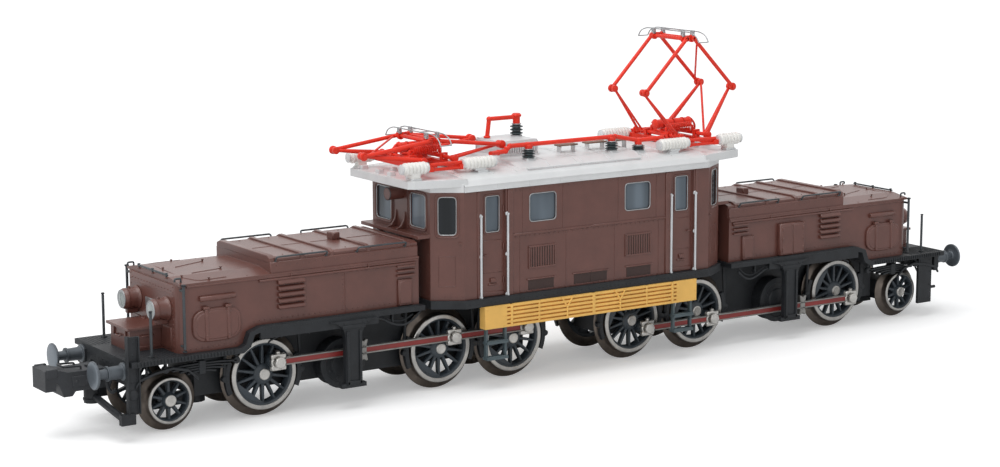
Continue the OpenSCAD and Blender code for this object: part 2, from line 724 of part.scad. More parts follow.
module driver(x, near_angle)
  color("gray") {
    axle(x, driver_z);
    for (side = [-1, 1]) {
      pin = crank_pin(x, side, near_angle);
      wheel(x, driver_z, driver_r, 14, 1.0, side);
      shaft_y(pin[0], pin[1], outward(side, wheel_face - 1, wheel_face + 0.4), 0.75);
      shaft_y(pin[0], pin[1], outward(side, wheel_face, cap_y + 0.1), crank_pin_r);
      shaft_y(pin[0], pin[1], outward(side, cap_y, cap_y + cap_t), 0.7);
    }
  }

module carrying_wheels(x)
  color("gray") {
    axle(x, carrier_z);
    for (side = [-1, 1]) wheel(x, carrier_z, carrier_r, 10, 0.9, side);
  }

// The cranks on the two sides stand a quarter turn apart
function crank_pin(x, side, near_angle) =
  let (angle = side < 0 ? near_angle : near_angle + 90)
  [x + crank_throw * cos(angle), driver_z + crank_throw * sin(angle)];

// One rod on the side given, with square bearing blocks and a guide block behind the column
module coupling_rod(end, side, near_angle) {
  pins = [for (x = driver_x) crank_pin(end * x, side, near_angle)];
  middle = crank_pin(end * column_x, side, near_angle);
  ends = [min(pins[0][0], pins[2][0]), max(pins[0][0], pins[2][0])];
  z = middle[1];
  y = outward(side, rod_y, rod_y + rod_t);
  color("firebrick") difference() {
    union() {
      slab(ends, y, [z - rod_h / 2, z + rod_h / 2]);
      for (pin = pins) slab(grown([pin[0], pin[0]], 0.95), y, grown([z, z], 0.95));
      slab(grown([middle[0], middle[0]], 0.55), y, grown([z, z], 1.4));
    }
    for (pin = pins) shaft_y(pin[0], z, grown(y, 1), crank_pin_r + pin_gap);
  }
}

// A hook coupler turns on the pin of the rail guards
module coupler()
  color("dimgray") difference() {
    tail = coupler_pin_x - 0.95;
    front = coupler_pin_x + 6.1;
    side_plate([[tail, coupler_z[1]], [front - 2.7, coupler_z[1]], [front - 0.9, coupler_z[1] + 0.5],
                [front, coupler_z[1] + 0.4], [front, coupler_z[0] + 0.3],
                [front - 1.2, coupler_z[0] + 0.3], [front - 1.3, coupler_z[0] + 1.1],
                [front - 1.6, coupler_z[0] + 0.9], [front - 2.1, coupler_z[0] - 0.5],
                [front - 3.1, coupler_z[0] - 0.5], [front - 3.5, coupler_z[0]],
                [tail, coupler_z[0]]], [-coupler_half_w, coupler_half_w]);
    post(coupler_pin_x, 0, grown(coupler_z, 1), coupler_pin_r + pin_gap);
  }

// ---------------------------------------------------------------- the nodes of the two trucks

module truck_frame_rear() truck_frame();
module truck_frame_front() rotate([0, 0, 180]) truck_frame();
module hood_rear() hood();
module hood_front() rotate([0, 0, 180]) hood();
module buffers_rear() buffers();
module buffers_front() rotate([0, 0, 180]) buffers();
module headlamps_rear() headlamps();
module headlamps_front() rotate([0, 0, 180]) headlamps();
module toolbox_rear() toolbox();
module toolbox_front() rotate([0, 0, 180]) toolbox();
module hood_rails_rear() hood_rails();
module hood_rails_front() rotate([0, 0, 180]) hood_rails();
module motor_rear() motor();
module motor_front() rotate([0, 0, 180]) motor();
module rail_guards_rear() rail_guards(false);
module rail_guards_front() rotate([0, 0, 180]) rail_guards(true);
module driver_rear_1() driver(driver_x[0], rear_pin_angle);
module driver_rear_2() driver(driver_x[1], rear_pin_angle);
module driver_rear_3() driver(driver_x[2], rear_pin_angle);
module driver_front_1() driver(-driver_x[0], front_pin_angle);
module driver_front_2() driver(-driver_x[1], front_pin_angle);
module driver_front_3() driver(-driver_x[2], front_pin_angle);
module carrying_wheels_rear() carrying_wheels(carrier_x);
module carrying_wheels_front() carrying_wheels(-carrier_x);
module pony_truck_rear() pony_truck();
module pony_truck_front() rotate([0, 0, 180]) pony_truck();
module rod_rear_left() coupling_rod(1, -1, rear_pin_angle);
module rod_rear_right() coupling_rod(1, 1, rear_pin_angle);
module rod_front_left() coupling_rod(-1, -1, front_pin_angle);
module rod_front_right() coupling_rod(-1, 1, front_pin_angle);
module coupler_hook() rotate([0, 0, 180]) coupler();

cab_body();
cab_roof();
side_windows_left();
side_windows_right();
end_windows_front();
end_windows_rear();
underframe();
king_pins();
cooler_left();
cooler_right();
cab_steps();
cab_handrails();
cab_lamps();
roof_conductors();
roof_insulators();
pantograph_insulators();
resistor_box();
pantograph_base_front();
pantograph_base_rear();
truck_frame_front();
hood_front();
buffers_front();
headlamps_front();
toolbox_front();
hood_rails_front();
motor_front();
rail_guards_front();
truck_frame_rear();
hood_rear();
buffers_rear();
headlamps_rear();
toolbox_rear();
hood_rails_rear();
motor_rear();
rail_guards_rear();
driver_front_1();
driver_front_2();
driver_front_3();
driver_rear_1();
driver_rear_2();
driver_rear_3();
carrying_wheels_front();
carrying_wheels_rear();
pony_truck_front();
pony_truck_rear();
rod_front_left();
rod_front_right();
rod_rear_left();
rod_rear_right();
coupler_hook();
lower_arm_front_a();
lower_arm_front_b();
upper_arm_front_a();
upper_arm_front_b();
collector_front();
lower_arm_rear_a();
lower_arm_rear_b();
upper_arm_rear_a();
upper_arm_rear_b();
collector_rear();
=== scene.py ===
import json
import math
from itertools import product

import bmesh
import bpy
from bpy.props import FloatProperty, FloatVectorProperty, IntProperty, PointerProperty
from mathutils import Matrix, Vector


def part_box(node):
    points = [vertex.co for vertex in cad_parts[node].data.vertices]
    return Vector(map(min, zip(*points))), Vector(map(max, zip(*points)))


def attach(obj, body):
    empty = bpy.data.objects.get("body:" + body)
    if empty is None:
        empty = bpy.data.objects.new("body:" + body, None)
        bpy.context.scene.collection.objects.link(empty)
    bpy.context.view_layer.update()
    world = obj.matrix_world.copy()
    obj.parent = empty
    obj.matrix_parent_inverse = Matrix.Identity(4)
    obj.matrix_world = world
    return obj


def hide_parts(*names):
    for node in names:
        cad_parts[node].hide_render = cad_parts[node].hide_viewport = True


bl_info = {
    "name": "Articulated Electric Locomotive",
    "version": (1, 0, 0),
    "blender": (4, 5, 0),
    "location": "View3D > Sidebar > Locomotive",
    "description": "Builds the visible pieces of a 1:160 articulated electric locomotive",
    "category": "Add Mesh",
}

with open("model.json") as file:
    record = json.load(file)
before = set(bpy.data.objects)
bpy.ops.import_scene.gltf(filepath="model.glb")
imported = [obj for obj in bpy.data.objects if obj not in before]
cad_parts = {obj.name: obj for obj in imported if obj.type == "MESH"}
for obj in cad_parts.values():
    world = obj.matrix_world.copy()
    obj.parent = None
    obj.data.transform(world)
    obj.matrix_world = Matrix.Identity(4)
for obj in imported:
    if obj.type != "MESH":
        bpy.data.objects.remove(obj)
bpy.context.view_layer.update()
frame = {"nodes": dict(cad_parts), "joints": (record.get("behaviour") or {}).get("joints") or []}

MM = 0.001
REAR = Matrix.Identity(4)
FRONT = Matrix.Rotation(math.pi, 4, "Z")
RIGHT = Matrix.Identity(4)
LEFT = Matrix.Scale(-1, 4, (0, 1, 0))
ENDS = {"front": FRONT, "rear": REAR}
ALONG, OUT, UP = (1, 0, 0), (0, 1, 0), (0, 0, 1)
# Which way each end faces along X, and the stout arm of its pantograph
WAY = {"front": -1, "rear": 1}
STOUT = {"front": "a", "rear": "b"}
SIDES = (-1, 1)


def about(middle, reach):
    """The span that reaches equally far either way."""
    return middle - reach, middle + reach


def wider(span, by):
    """The span with both ends moved outwards."""
    return span[0] - by, span[1] + by


def ends(*place):
    """The two ends of a line, where one coordinate is a span and the others are plain."""
    return [tuple(c[k] if isinstance(c, (tuple, list)) else c for c in place) for k in (0, 1)]


def outward(side, near, far):
    """The span between two distances from the middle, on one side."""
    return sorted((side * near, side * far))


def corners(node):
    """Lowest and highest corner of a CAD node, in millimetres."""
    low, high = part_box(node)
    return low / MM, high / MM


def joint_point(name):
    """Place of a joint, in millimetres."""
    found = next(j for j in frame["joints"] if j["name"] == name)
    return Vector(found["pos_m"]) / MM


def shades(colour, darker, lighter):
    return [c * darker for c in colour], [min(1.0, c * lighter) for c in colour]


# ---------------------------------------------------------------- sizes and colours


def colour_of(label, words, default):
    return FloatVectorProperty(name=label, description=words, default=default, size=3, min=0.0,
                               max=1.0, subtype="COLOR")


def length_of(label, words, millimetres):
    return FloatProperty(name=label, description=words, default=millimetres * MM, min=0.0,
                         precision=5, subtype="DISTANCE", unit="LENGTH")


class LocomotiveColours(bpy.types.PropertyGroup):
    """Colours of the paints and metals"""

    body: colour_of("Body", "Chocolate brown of the cab and hoods", (0.128, 0.047, 0.036))
    # Painted shade: dark brown sheets stand in for the shade inside grilles and openings
    recess_shade: colour_of("Recess", "Dark brown inside grilles and openings", (0.035, 0.015, 0.012))
    roof: colour_of("Roof", "Aluminium paint of the roof", (0.72, 0.73, 0.735))
    glass: colour_of("Glass", "Tint of the glazing", (0.085, 0.105, 0.125))
    rim: colour_of("Rim", "Metal of window rims and lamp rings", (0.40, 0.41, 0.42))
    frame_paint: colour_of("Frame", "Near-black grey of the frames", (0.016, 0.018, 0.021))
    cooler: colour_of("Cooler", "Yellow-orange of the side coolers", (0.92, 0.54, 0.14))
    steps: colour_of("Steps", "Grey-blue of the cab steps", (0.075, 0.105, 0.118))
    rail_white: colour_of("Cab rails", "Pale grey of the cab handrails", (0.68, 0.70, 0.72))
    wire: colour_of("Wire", "Dark grey of the handrail wire", (0.055, 0.062, 0.068))
    red: colour_of("Red", "Orange-red of the pantographs", (0.86, 0.042, 0.020))
    porcelain: colour_of("Porcelain", "Cream white of the insulators", (0.90, 0.885, 0.85))
    dark_porcelain: colour_of("Dark porcelain", "Green-grey insulators", (0.035, 0.052, 0.056))
    buffer: colour_of("Buffer", "Grey of the buffers", (0.085, 0.098, 0.112))
    tyre: colour_of("Tyre", "Nickel of the wheel tyres", (0.44, 0.43, 0.41))
    wheel: colour_of("Wheel centre", "Blue-grey of the spokes", (0.034, 0.044, 0.054))
    rod_red: colour_of("Rod flute", "Red of the coupling rods' flutes", (0.24, 0.022, 0.020))
    coupler: colour_of("Coupler", "Black of the hook coupler", (0.022, 0.024, 0.028))
    plank: colour_of("Plank", "Brown of the roof walkway", (0.20, 0.12, 0.085))


class LocomotiveSizes(bpy.types.PropertyGroup):
    """Sizes of the fine details"""

    rivet: length_of("Rivet", "Radius of a rivet's head", 0.09)
    wire: length_of("Wire", "Radius of the handrail wire", 0.13)
    rim: length_of("Rim", "Radius of the window rims", 0.065)
    seam: length_of("Seam", "Radius of a raised seam", 0.045)
    edge: length_of("Edge", "Width of a chamfered edge", 0.06)
    rib: length_of("Rib", "Height of the ribs on the raised hood roof", 0.26)
    driver_spokes: IntProperty(name="Driver spokes", description="Spokes of a driving wheel",
                               default=14, min=8, max=20)
    carrier_spokes: IntProperty(name="Carrier spokes", description="Spokes of a carrying wheel",
                                default=10, min=6, max=16)


class LocomotiveStage(bpy.types.PropertyGroup):
    """Light, floor and camera"""

    surround: FloatProperty(name="Surround", description="Strength of the light from all round",
                            default=0.50, min=0.0)
    top: FloatProperty(name="Top light", description="Power of the overhead soft box",
                       default=0.85, min=0.0, unit="POWER")
    key: FloatProperty(name="Key light", description="Power of the front soft box", default=0.30,
                       min=0.0, unit="POWER")
    lens: FloatProperty(name="Lens", description="Focal length in millimetres", default=83.86,
                        min=10.0)


# ---------------------------------------------------------------- shapes


def rounded_line(points, bend, closed):
    """The line through the points with its corners rounded."""
    points = [Vector(p) for p in points]
    count = len(points)
    line = []
    for i, point in enumerate(points):
        if not closed and i in (0, count - 1):
            line.append(point)
            continue
        before, after = points[i - 1] - point, points[(i + 1) % count] - point
        reach_in = min(bend, before.length * 0.45)
        reach_out = min(bend, after.length * 0.45)
        start = point + before.normalized() * reach_in
        stop = point + after.normalized() * reach_out
        steps = 4 if bend > 0.02 else 1
        for k in range(steps + 1):
            t = k / steps
            line.append(start * (1 - t) ** 2 + point * 2 * t * (1 - t) + stop * t * t)
    return line


def inset(outline, by):
    """The outline moved inwards, for a chamfer."""
    area = sum(a[0] * b[1] - b[0] * a[1] for a, b in zip(outline, outline[1:] + outline[:1]))
    way = 1 if area > 0 else -1
    moved = []
    for i, point in enumerate(outline):
        a, p, b = Vector(outline[i - 1]), Vector(point), Vector(outline[(i + 1) % len(outline)])
        u, v = (p - a).normalized(), (b - p).normalized()
        n = Vector((-u.y - v.y, u.x + v.x))
        scale = max(0.35, (n.length / 2) ** 2)
        moved.append(tuple(p + n / 2 * way * by / scale))
    return moved


class Shape:
    """Gathers the parts of one piece, in millimetres, before it becomes a mesh."""

    def __init__(self, edge=0.06):
        self.points, self.faces, self.finishes = [], [], []
        self.finish = 0
        self.edge = edge
        self.placed = Matrix.Identity(4)

    def add(self, points, faces):
        base = len(self.points)
        self.points += [self.placed @ Vector(p) for p in points]
        self.faces += [[base + i for i in face] for face in faces]
        self.finishes += [self.finish] * len(faces)

    def block(self, x, y, z, edge=None):
        """A block with chamfered edges, from its spans."""
        spans = (x, y, z)
        cut = min([self.edge if edge is None else edge] + [abs(b - a) * 0.3 for a, b in spans])
        cube = list(product((0, 1), repeat=3))
        index = {(corner, axis): 3 * i + axis for i,
                 corner in enumerate(cube) for axis in range(3)}
        points = [[spans[k][c] + (0 if k == axis else cut) * (1 if c == 0 else -1) for k,
                   c in enumerate(corner)] for corner in cube for axis in range(3)]
        faces = [[index[corner, axis] for axis in range(3)] for corner in cube]

        def at(axis, level, a, b):
            """The corner at a level of the axis and at a and b of the next two."""
            return tuple({axis: level, (axis + 1) % 3: a, (axis + 2) % 3: b}[k] for k in range(3))

        for axis in range(3):
            for level in (0, 1):
                faces.append([index[at(axis, level, a, b), axis] for a,
                              b in ((0, 0), (1, 0), (1, 1), (0, 1))])
            for a, b in product((0, 1), repeat=2):
                first, last = at(axis, 0, a, b), at(axis, 1, a, b)
                u, v = (axis + 1) % 3, (axis + 2) % 3
                faces.append([index[first, u], index[last, u], index[last, v], index[first, v]])
        self.add(points, faces)

    def turned(self, profile, start, direction, sides=24, ring=False):
        """A turned form. The profile lists distances along the direction and radii."""
        axis = Vector(direction).normalized()
        across = axis.orthogonal().normalized()
        up = axis.cross(across)
        points, rings, faces = [], [], []
        for along, radius in profile:
            centre = Vector(start) + axis * along
            if radius < 1e-6:
                rings.append([len(points)])
                points.append(centre)
                continue
            rings.append(list(range(len(points), len(points) + sides)))
            for k in range(sides):
                a = 2 * math.pi * k / sides
                points.append(centre + (across * math.cos(a) + up * math.sin(a)) * radius)
        pairs = list(zip(rings, rings[1:])) + ([(rings[-1], rings[0])] if ring else [])
        for a, b in pairs:
            for i in range(max(len(a), len(b))):
                j = i + 1
                face = [a[i % len(a)], a[j % len(a)], b[j % len(b)], b[i % len(b)]]
                face = list(dict.fromkeys(face))
                if len(face) > 2:
                    faces.append(face)
        if not ring:
            faces += [r for r in (rings[0], rings[-1]) if len(r) > 1]
        self.add(points, faces)

    def bar(self, start, stop, radius, end_radius=None, sides=12):
        """A round bar with softened ends."""
        span = Vector(stop) - Vector(start)
        far = radius if end_radius is None else end_radius
        soft = min(0.08, span.length * 0.2, radius * 0.5)
        self.turned([(0, radius * 0.8), (soft, radius), (span.length - soft, far),
                     (span.length, far * 0.8)], start, span, sides)

    def rivet(self, point, direction, radius):
        self.turned([(-0.03, radius), (radius * 0.35, radius * 0.9),
                     (radius * 0.75, radius * 0.45), (radius * 0.85, 0)], point, direction, 8)

    def rivets(self, start, stop, count, direction, radius):
        start, stop = Vector(start), Vector(stop)
        for i in range(count):
            self.rivet(start.lerp(stop, i / (count - 1)), direction, radius)

    def knob(self, point, direction, radius, length):
        self.turned([(0, radius * 0.6), (length * 0.5, radius * 0.55), (length * 0.6, radius),
                     (length * 0.9, radius * 0.85), (length, 0)], point, direction, 10)

    def wire(self, points, radius, bend=0.35, closed=False, sides=8):
        """A bent wire through the points."""
        line = rounded_line(points, bend, closed)
        count = len(line)
        normal = None
        rings, made = [], []
        for i, point in enumerate(line):
            if closed:
                tangent = line[(i + 1) % count] - line[i - 1]
            else:
                tangent = line[min(i + 1, count - 1)] - line[max(i - 1, 0)]
            tangent.normalize()
            if normal is None:
                normal = tangent.orthogonal().normalized()
            normal = (normal - tangent * normal.dot(tangent)).normalized()
            side = tangent.cross(normal)
            rings.append(list(range(len(made), len(made) + sides)))
            for k in range(sides):
                a = 2 * math.pi * k / sides
                made.append(point + (normal * math.cos(a) + side * math.sin(a)) * radius)
        pairs = list(zip(rings, rings[1:])) + ([(rings[-1], rings[0])] if closed else [])
        faces = [[a[k], a[(k + 1) % sides], b[(k + 1) % sides], b[k]] for a,
                 b in pairs for k in range(sides)]
        if not closed:
            faces += [rings[0], rings[-1]]
        self.add(made, faces)

    def plate(self, outline, across, plane="xz", edge=None):
        """A plate with chamfered edges, from its outline and its span across it."""
        put = {"xz": lambda u, v, w: (u, w, v), "xy": lambda u, v, w: (u, v, w), "yz": lambda u, v,
               w: (w, u, v)}[plane]
        cut = min(self.edge if edge is None else edge, abs(across[1] - across[0]) * 0.3)
        small, count = inset(outline, cut), len(outline)
        layers = [(small, across[0]), (outline, across[0] + cut), (outline, across[1] - cut),
                  (small, across[1])]
        points = [put(u, v, w) for line, w in layers for u, v in line]
        faces = [list(range(count)), list(range(3 * count, 4 * count))]
        for layer in range(3):
            low, high = layer * count, (layer + 1) * count
            faces += [[low + i, low + (i + 1) % count, high + (i + 1) % count, high + i] for i
                      in range(count)]
        self.add(points, faces)

    def rim(self, u, v, w, radius, corner, plane="xz"):
        """A wire frame round an opening with rounded corners."""
        put = {"xz": lambda a, b: (a, w, b), "yz": lambda a, b: (w, a, b)}[plane]
        self.wire([put(u[0], v[0]), put(u[1], v[0]), put(u[1], v[1]), put(u[0], v[1])], radius,
                  corner, True)

    def coil(self, start, stop, radius, wire_radius, turns, sides=6):
        """A coil spring."""
        start, stop = Vector(start), Vector(stop)
        axis = (stop - start).normalized()
        across = axis.orthogonal().normalized()
        up = axis.cross(across)
        steps = int(turns * 12)
        line = [start.lerp(stop, k / steps) + (across * math.cos(k * math.pi / 6) + up
                                               * math.sin(k * math.pi / 6)) * radius for k
                in range(steps + 1)]
        self.wire(line, wire_radius, 0.0, False, sides)

    def piece(self, name, body, slot, *finishes, smooth=38, stands_for=()):
        """Makes the mesh, and lets it ride on its body."""
        mesh = bpy.data.meshes.new(name)
        mesh.from_pydata([p * MM for p in self.points], [], self.faces)
        for finish in finishes:
            mesh.materials.append(FINISHES[finish])
        mesh.polygons.foreach_set("material_index", self.finishes)
        build = bmesh.new()
        build.from_mesh(mesh)
        bmesh.ops.recalc_face_normals(build, faces=build.faces)
        build.to_mesh(mesh)
        build.free()
        mesh.shade_smooth()
        mesh.set_sharp_from_angle(angle=math.radians(smooth))
        made = bpy.data.objects.new(name, mesh)
        bpy.context.scene.collection.objects.link(made)
        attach(made, body)
        if stands_for:
            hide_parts(*stands_for)
        return made


def each(shape, turns=(REAR, FRONT), sides=(RIGHT, LEFT)):
    """Places what follows at every end and side in turn."""
    for turn, side in product(turns, sides):
        shape.placed = turn @ side
        yield


# ---------------------------------------------------------------- finishes

FINISHES = {}
# Beyond this distance from the middle, in millimetres, the end glazing is the corner panes,
# painted dark as shade
SHADED_CORNER_Y = 5.75
# Depth of the finest relief and reach of the lighter sharp edges, in millimetres
BUMP_DEPTH, EDGE_REACH = 0.02, 0.10


class Tree:
    """A node tree, built by short calls. Every call that adds a node returns an output."""

    def __init__(self, owner):
        owner.use_nodes = True
        self.nodes, self.links = owner.node_tree.nodes, owner.node_tree.links

    def feed(self, sockets, values):
        """Links an output to each named socket, or sets the socket's value."""
        for name, value in values.items():
            if isinstance(value, bpy.types.NodeSocket):
                self.links.new(value, sockets[name])
            else:
                sockets[name].default_value = value

    def add(self, kind, output, values, **settings):
        node = self.nodes.new("ShaderNode" + kind)
        for name, value in settings.items():
            setattr(node, name, value)
        self.feed(node.inputs, values)
        return node.outputs[output]

    def shade(self, values):
        self.feed(self.nodes["Principled BSDF"].inputs, values)

    def place(self):
        return self.add("TexCoord", "Object", {})

    def scaled(self, place, scale):
        return self.add("Mapping", "Vector", {"Scale": scale, "Vector": place})

    def math(self, operation, *values):
        return self.add("Math", "Value", dict(enumerate(values)), operation=operation)

    def noise(self, place, scale, detail=3.0, roughness=0.55):
        return self.add("TexNoise", "Fac", {"Scale": scale, "Detail": detail,
                                            "Roughness": roughness, "Vector": place})

    def spread(self, value, low, high, from_low=0.3, from_high=0.7):
        return self.add("MapRange", "Result", {"From Min": from_low, "From Max": from_high,
                                               "To Min": low, "To Max": high, "Value": value})

    def blend(self, factor, first, second):
        first, second = (c if isinstance(c, bpy.types.NodeSocket) else (*c, 1.0) for c
                         in (first, second))
        return self.add("Mix", "Result", {"Factor": factor, "A": first, "B": second},
                        data_type="RGBA")

    def bump(self, height, strength, normal=None):
        """Fine relief, on the rounded normal if there is one."""
        values = {"Strength": strength, "Distance": BUMP_DEPTH * MM, "Height": height}
        return self.add("Bump", "Normal", values | ({"Normal": normal} if normal else {}))

    def sharp_edges(self):
        """A mask that is 1 on sharp edges, and the rounded normal."""
        soft = self.add("Bevel", "Normal", {"Radius": EDGE_REACH * MM}, samples=4)
        flat = self.add("NewGeometry", "Normal", {})
        dot = self.add("VectorMath", "Value", {0: soft, 1: flat}, operation="DOT_PRODUCT")
        return self.spread(dot, 1.0, 0.0, 0.78, 0.97), soft


def finish_tree(name):
    """A new finish, and its object coordinates in millimetres."""
    FINISHES[name] = bpy.data.materials.new(name)
    tree = Tree(FINISHES[name])
    return tree, tree.scaled(tree.place(), (1000, 1000, 1000))


def paint(name, colour, roughness, metallic=0.0, darker=0.82, lighter=1.18, patch=0.35, grain=9.0,
          bump=0.25, edge_colour=None, edge_share=0.5, coat=0.0, specular=0.5, speck=0.0):
    """A painted or metal finish with patches, grain, and lighter sharp edges."""
    tree, place = finish_tree(name)
    patches = tree.spread(tree.noise(place, patch, 5.0, 0.6), 0.0, 1.0)
    shown = tree.blend(patches, *shades(colour, darker, lighter))
    fine = tree.noise(place, grain, 2.0)
    if speck:
        flakes = tree.spread(tree.noise(place, grain * 2.4, 1.0), 0.0, speck, 0.45, 0.75)
        shown = tree.blend(flakes, shown, [min(1.0, c * 1.6 + 0.04) for c in colour])
    edge_mask, soft = tree.sharp_edges()
    # Sharp edges are lightened towards the edge colour
    if edge_colour:
        share = tree.math("MULTIPLY", edge_mask, tree.spread(fine, edge_share * 0.4, edge_share))
        shown = tree.blend(share, shown, edge_colour)
    tree.shade({"Base Color": shown, "Metallic": metallic, "Specular IOR Level": specular,
                "Coat Weight": coat, "Coat Roughness": 0.25,
                "Roughness": tree.spread(fine, roughness * 0.88, min(1.0, roughness * 1.14)),
                "Normal": tree.bump(fine, bump, soft)})


def glazing(name, colour, darker, lighter, painted_shade_beyond=0.0):
    """Tinted glazing with soft upright bands of painted reflection and faint waves. Beyond the
    given distance from the middle, the panes are painted dark as shade.
    """
    tree, place = finish_tree(name)
    # Upright bands, lighter and darker, painted as reflection on the glazing
    painted_reflection_streaks = tree.spread(tree.noise(tree.scaled(place, (1, 1, 0.12)), 0.34, 1.0), 0.0, 1.0, 0.36,
                          0.64)
    shown = tree.blend(painted_reflection_streaks, *shades(colour, darker, lighter))
    # Corner panes beyond that distance are painted nearly black, as painted shade
    if painted_shade_beyond:
        across = tree.math("ABSOLUTE", tree.add("SeparateXYZ", "Y", {"Vector": place}))
        corner = tree.spread(across, 0.0, 0.93, painted_shade_beyond - 0.05, painted_shade_beyond + 0.05)
        shown = tree.blend(corner, shown, [c * 0.1 for c in colour])
    waves = tree.noise(place, 0.9, 1.0)
    tree.shade({"Base Color": shown, "Roughness": tree.spread(waves, 0.05, 0.14),
                "Normal": tree.bump(waves, 0.12), "IOR": 1.5, "Specular IOR Level": 0.3})


def make_finishes(colours):
    paint("body", colours.body, 0.36, edge_colour=(0.30, 0.17, 0.145), edge_share=0.45,
          darker=0.88, lighter=1.14, grain=7.0, bump=0.22, coat=0.2)
    # Dark brown of the sheets painted as shade inside grilles and openings
    paint("recess_shade", colours.recess_shade, 0.6, grain=6.0)
    paint("roof", colours.roof, 0.42, metallic=0.15, darker=0.93, lighter=1.03, grain=14.0,
          bump=0.15, edge_colour=(0.86, 0.87, 0.87), edge_share=0.5, speck=0.25)
    # The lighter shade of each glazing is painted reflection
    glazing("glass", colours.glass, 0.7, 1.9)
    glazing("end_glass", colours.glass, 0.6, 3.0, SHADED_CORNER_Y)
    paint("rim", colours.rim, 0.30, metallic=0.75, patch=0.8, grain=12.0, bump=0.1)
    paint("frame", colours.frame_paint, 0.52, darker=0.75, lighter=1.35, grain=8.0, bump=0.35,
          edge_colour=(0.07, 0.078, 0.085), edge_share=0.5, patch=0.5, specular=0.35)
    paint("cooler", colours.cooler, 0.52, darker=0.90, lighter=1.06, grain=8.0, bump=0.25,
          edge_colour=(0.97, 0.68, 0.28), edge_share=0.5, specular=0.3)
    paint("steps", colours.steps, 0.5, grain=8.0, edge_colour=(0.20, 0.25, 0.27), edge_share=0.6)
    paint("rail_white", colours.rail_white, 0.4, metallic=0.2, darker=0.88, lighter=1.06,
          grain=10.0, bump=0.12)
    paint("wire", colours.wire, 0.42, metallic=0.35, darker=0.7, lighter=1.5, grain=9.0,
          edge_colour=(0.2, 0.22, 0.24), edge_share=0.3)
    paint("red", colours.red, 0.34, darker=0.86, lighter=1.08, grain=7.0, bump=0.2,
          edge_colour=(0.93, 0.16, 0.09), edge_share=0.4, specular=0.3)
    paint("porcelain", colours.porcelain, 0.28, darker=0.9, lighter=1.05, patch=0.6, grain=6.0,
          bump=0.15, coat=0.3)
    paint("dark_porcelain", colours.dark_porcelain, 0.3, darker=0.7, lighter=1.5, grain=6.0,
          edge_colour=(0.15, 0.19, 0.2), edge_share=0.5)
    paint("buffer", colours.buffer, 0.40, metallic=0.35, darker=0.85, lighter=1.25, grain=10.0,
          edge_colour=(0.3, 0.33, 0.36), edge_share=0.6)
    paint("buffer_face", [c * 2.1 for c in colours.buffer], 0.34, metallic=0.55, darker=0.9,
          lighter=1.12, grain=5.0, bump=0.12)
    paint("tyre", colours.tyre, 0.30, metallic=0.9, darker=0.82, lighter=1.15, patch=0.9,
          grain=16.0, bump=0.18, edge_colour=(0.75, 0.73, 0.70), edge_share=0.5)
    # Darker, browner copy of the tyre metal, painted as the shade on the flanges and rolling faces
    paint("tread", [c * s for c, s in zip(colours.tyre, (0.36, 0.31, 0.28))], 0.36, metallic=0.85,
          darker=0.8, lighter=1.2, patch=0.9, grain=16.0, bump=0.18)
    paint("wheel", colours.wheel, 0.48, darker=0.75, lighter=1.4, grain=8.0,
          edge_colour=(0.12, 0.145, 0.165), edge_share=0.6)
    paint("nickel", [min(1.0, c * 1.18) for c in colours.tyre], 0.3, metallic=0.85, darker=0.85,
          lighter=1.12, patch=1.1, grain=14.0, bump=0.15)
    paint("rod_red", colours.rod_red, 0.42, darker=0.8, lighter=1.25, grain=9.0,
          edge_colour=(0.5, 0.12, 0.1), edge_share=0.4)
    paint("coupler", colours.coupler, 0.58, darker=0.8, lighter=1.4, grain=7.0, bump=0.35,
          edge_colour=(0.10, 0.11, 0.12), edge_share=0.5)
    paint("plank", colours.plank, 0.6, darker=0.7, lighter=1.3, patch=1.2, grain=5.0, bump=0.4)
    paint("rod_edge", [c * 0.6 for c in colours.tyre], 0.4, metallic=0.5, darker=0.8, lighter=1.2,
          patch=1.1, grain=14.0, bump=0.15)
    paint("lamp_glass", (0.26, 0.30, 0.29), 0.12, darker=0.8, lighter=1.15, patch=0.9, grain=3.0,
          bump=0.1, coat=1.0)


NODE_FINISH = {"cab_body": "body", "cab_roof": "roof", "side_windows": "glass",
               "end_windows": "end_glass", "underframe": "frame", "king_pins": "frame",
               "cooler": "cooler", "cab_steps": "steps", "cab_handrails": "rail_white",
               "cab_lamps": "body", "roof_conductors": "red", "roof_insulators": "dark_porcelain",
               "pantograph_insulators": "porcelain", "resistor_box": "roof",
               "pantograph_base": "red", "truck_frame": "frame", "hood_rails": "wire",
               "hood": "body", "buffers": "buffer", "headlamps": "body", "toolbox": "body",
               "motor": "frame", "rail_guards": "frame", "driver": "wheel",
               "carrying_wheels": "wheel", "pony_truck": "frame", "rod": "rod_red",
               "coupler_hook": "coupler", "lower_arm": "red", "upper_arm": "red",
               "collector": "red",}


def dress_nodes():
    """Gives every CAD node its finish."""
    for name, node in frame["nodes"].items():
        kind = next(k for k in sorted(NODE_FINISH, key=len, reverse=True) if name.startswith(k))
        for slot in node.material_slots:
            slot.material = FINISHES[NODE_FINISH[kind]]
        if not node.material_slots:
            node.data.materials.append(FINISHES[NODE_FINISH[kind]])


# ---------------------------------------------------------------- cab

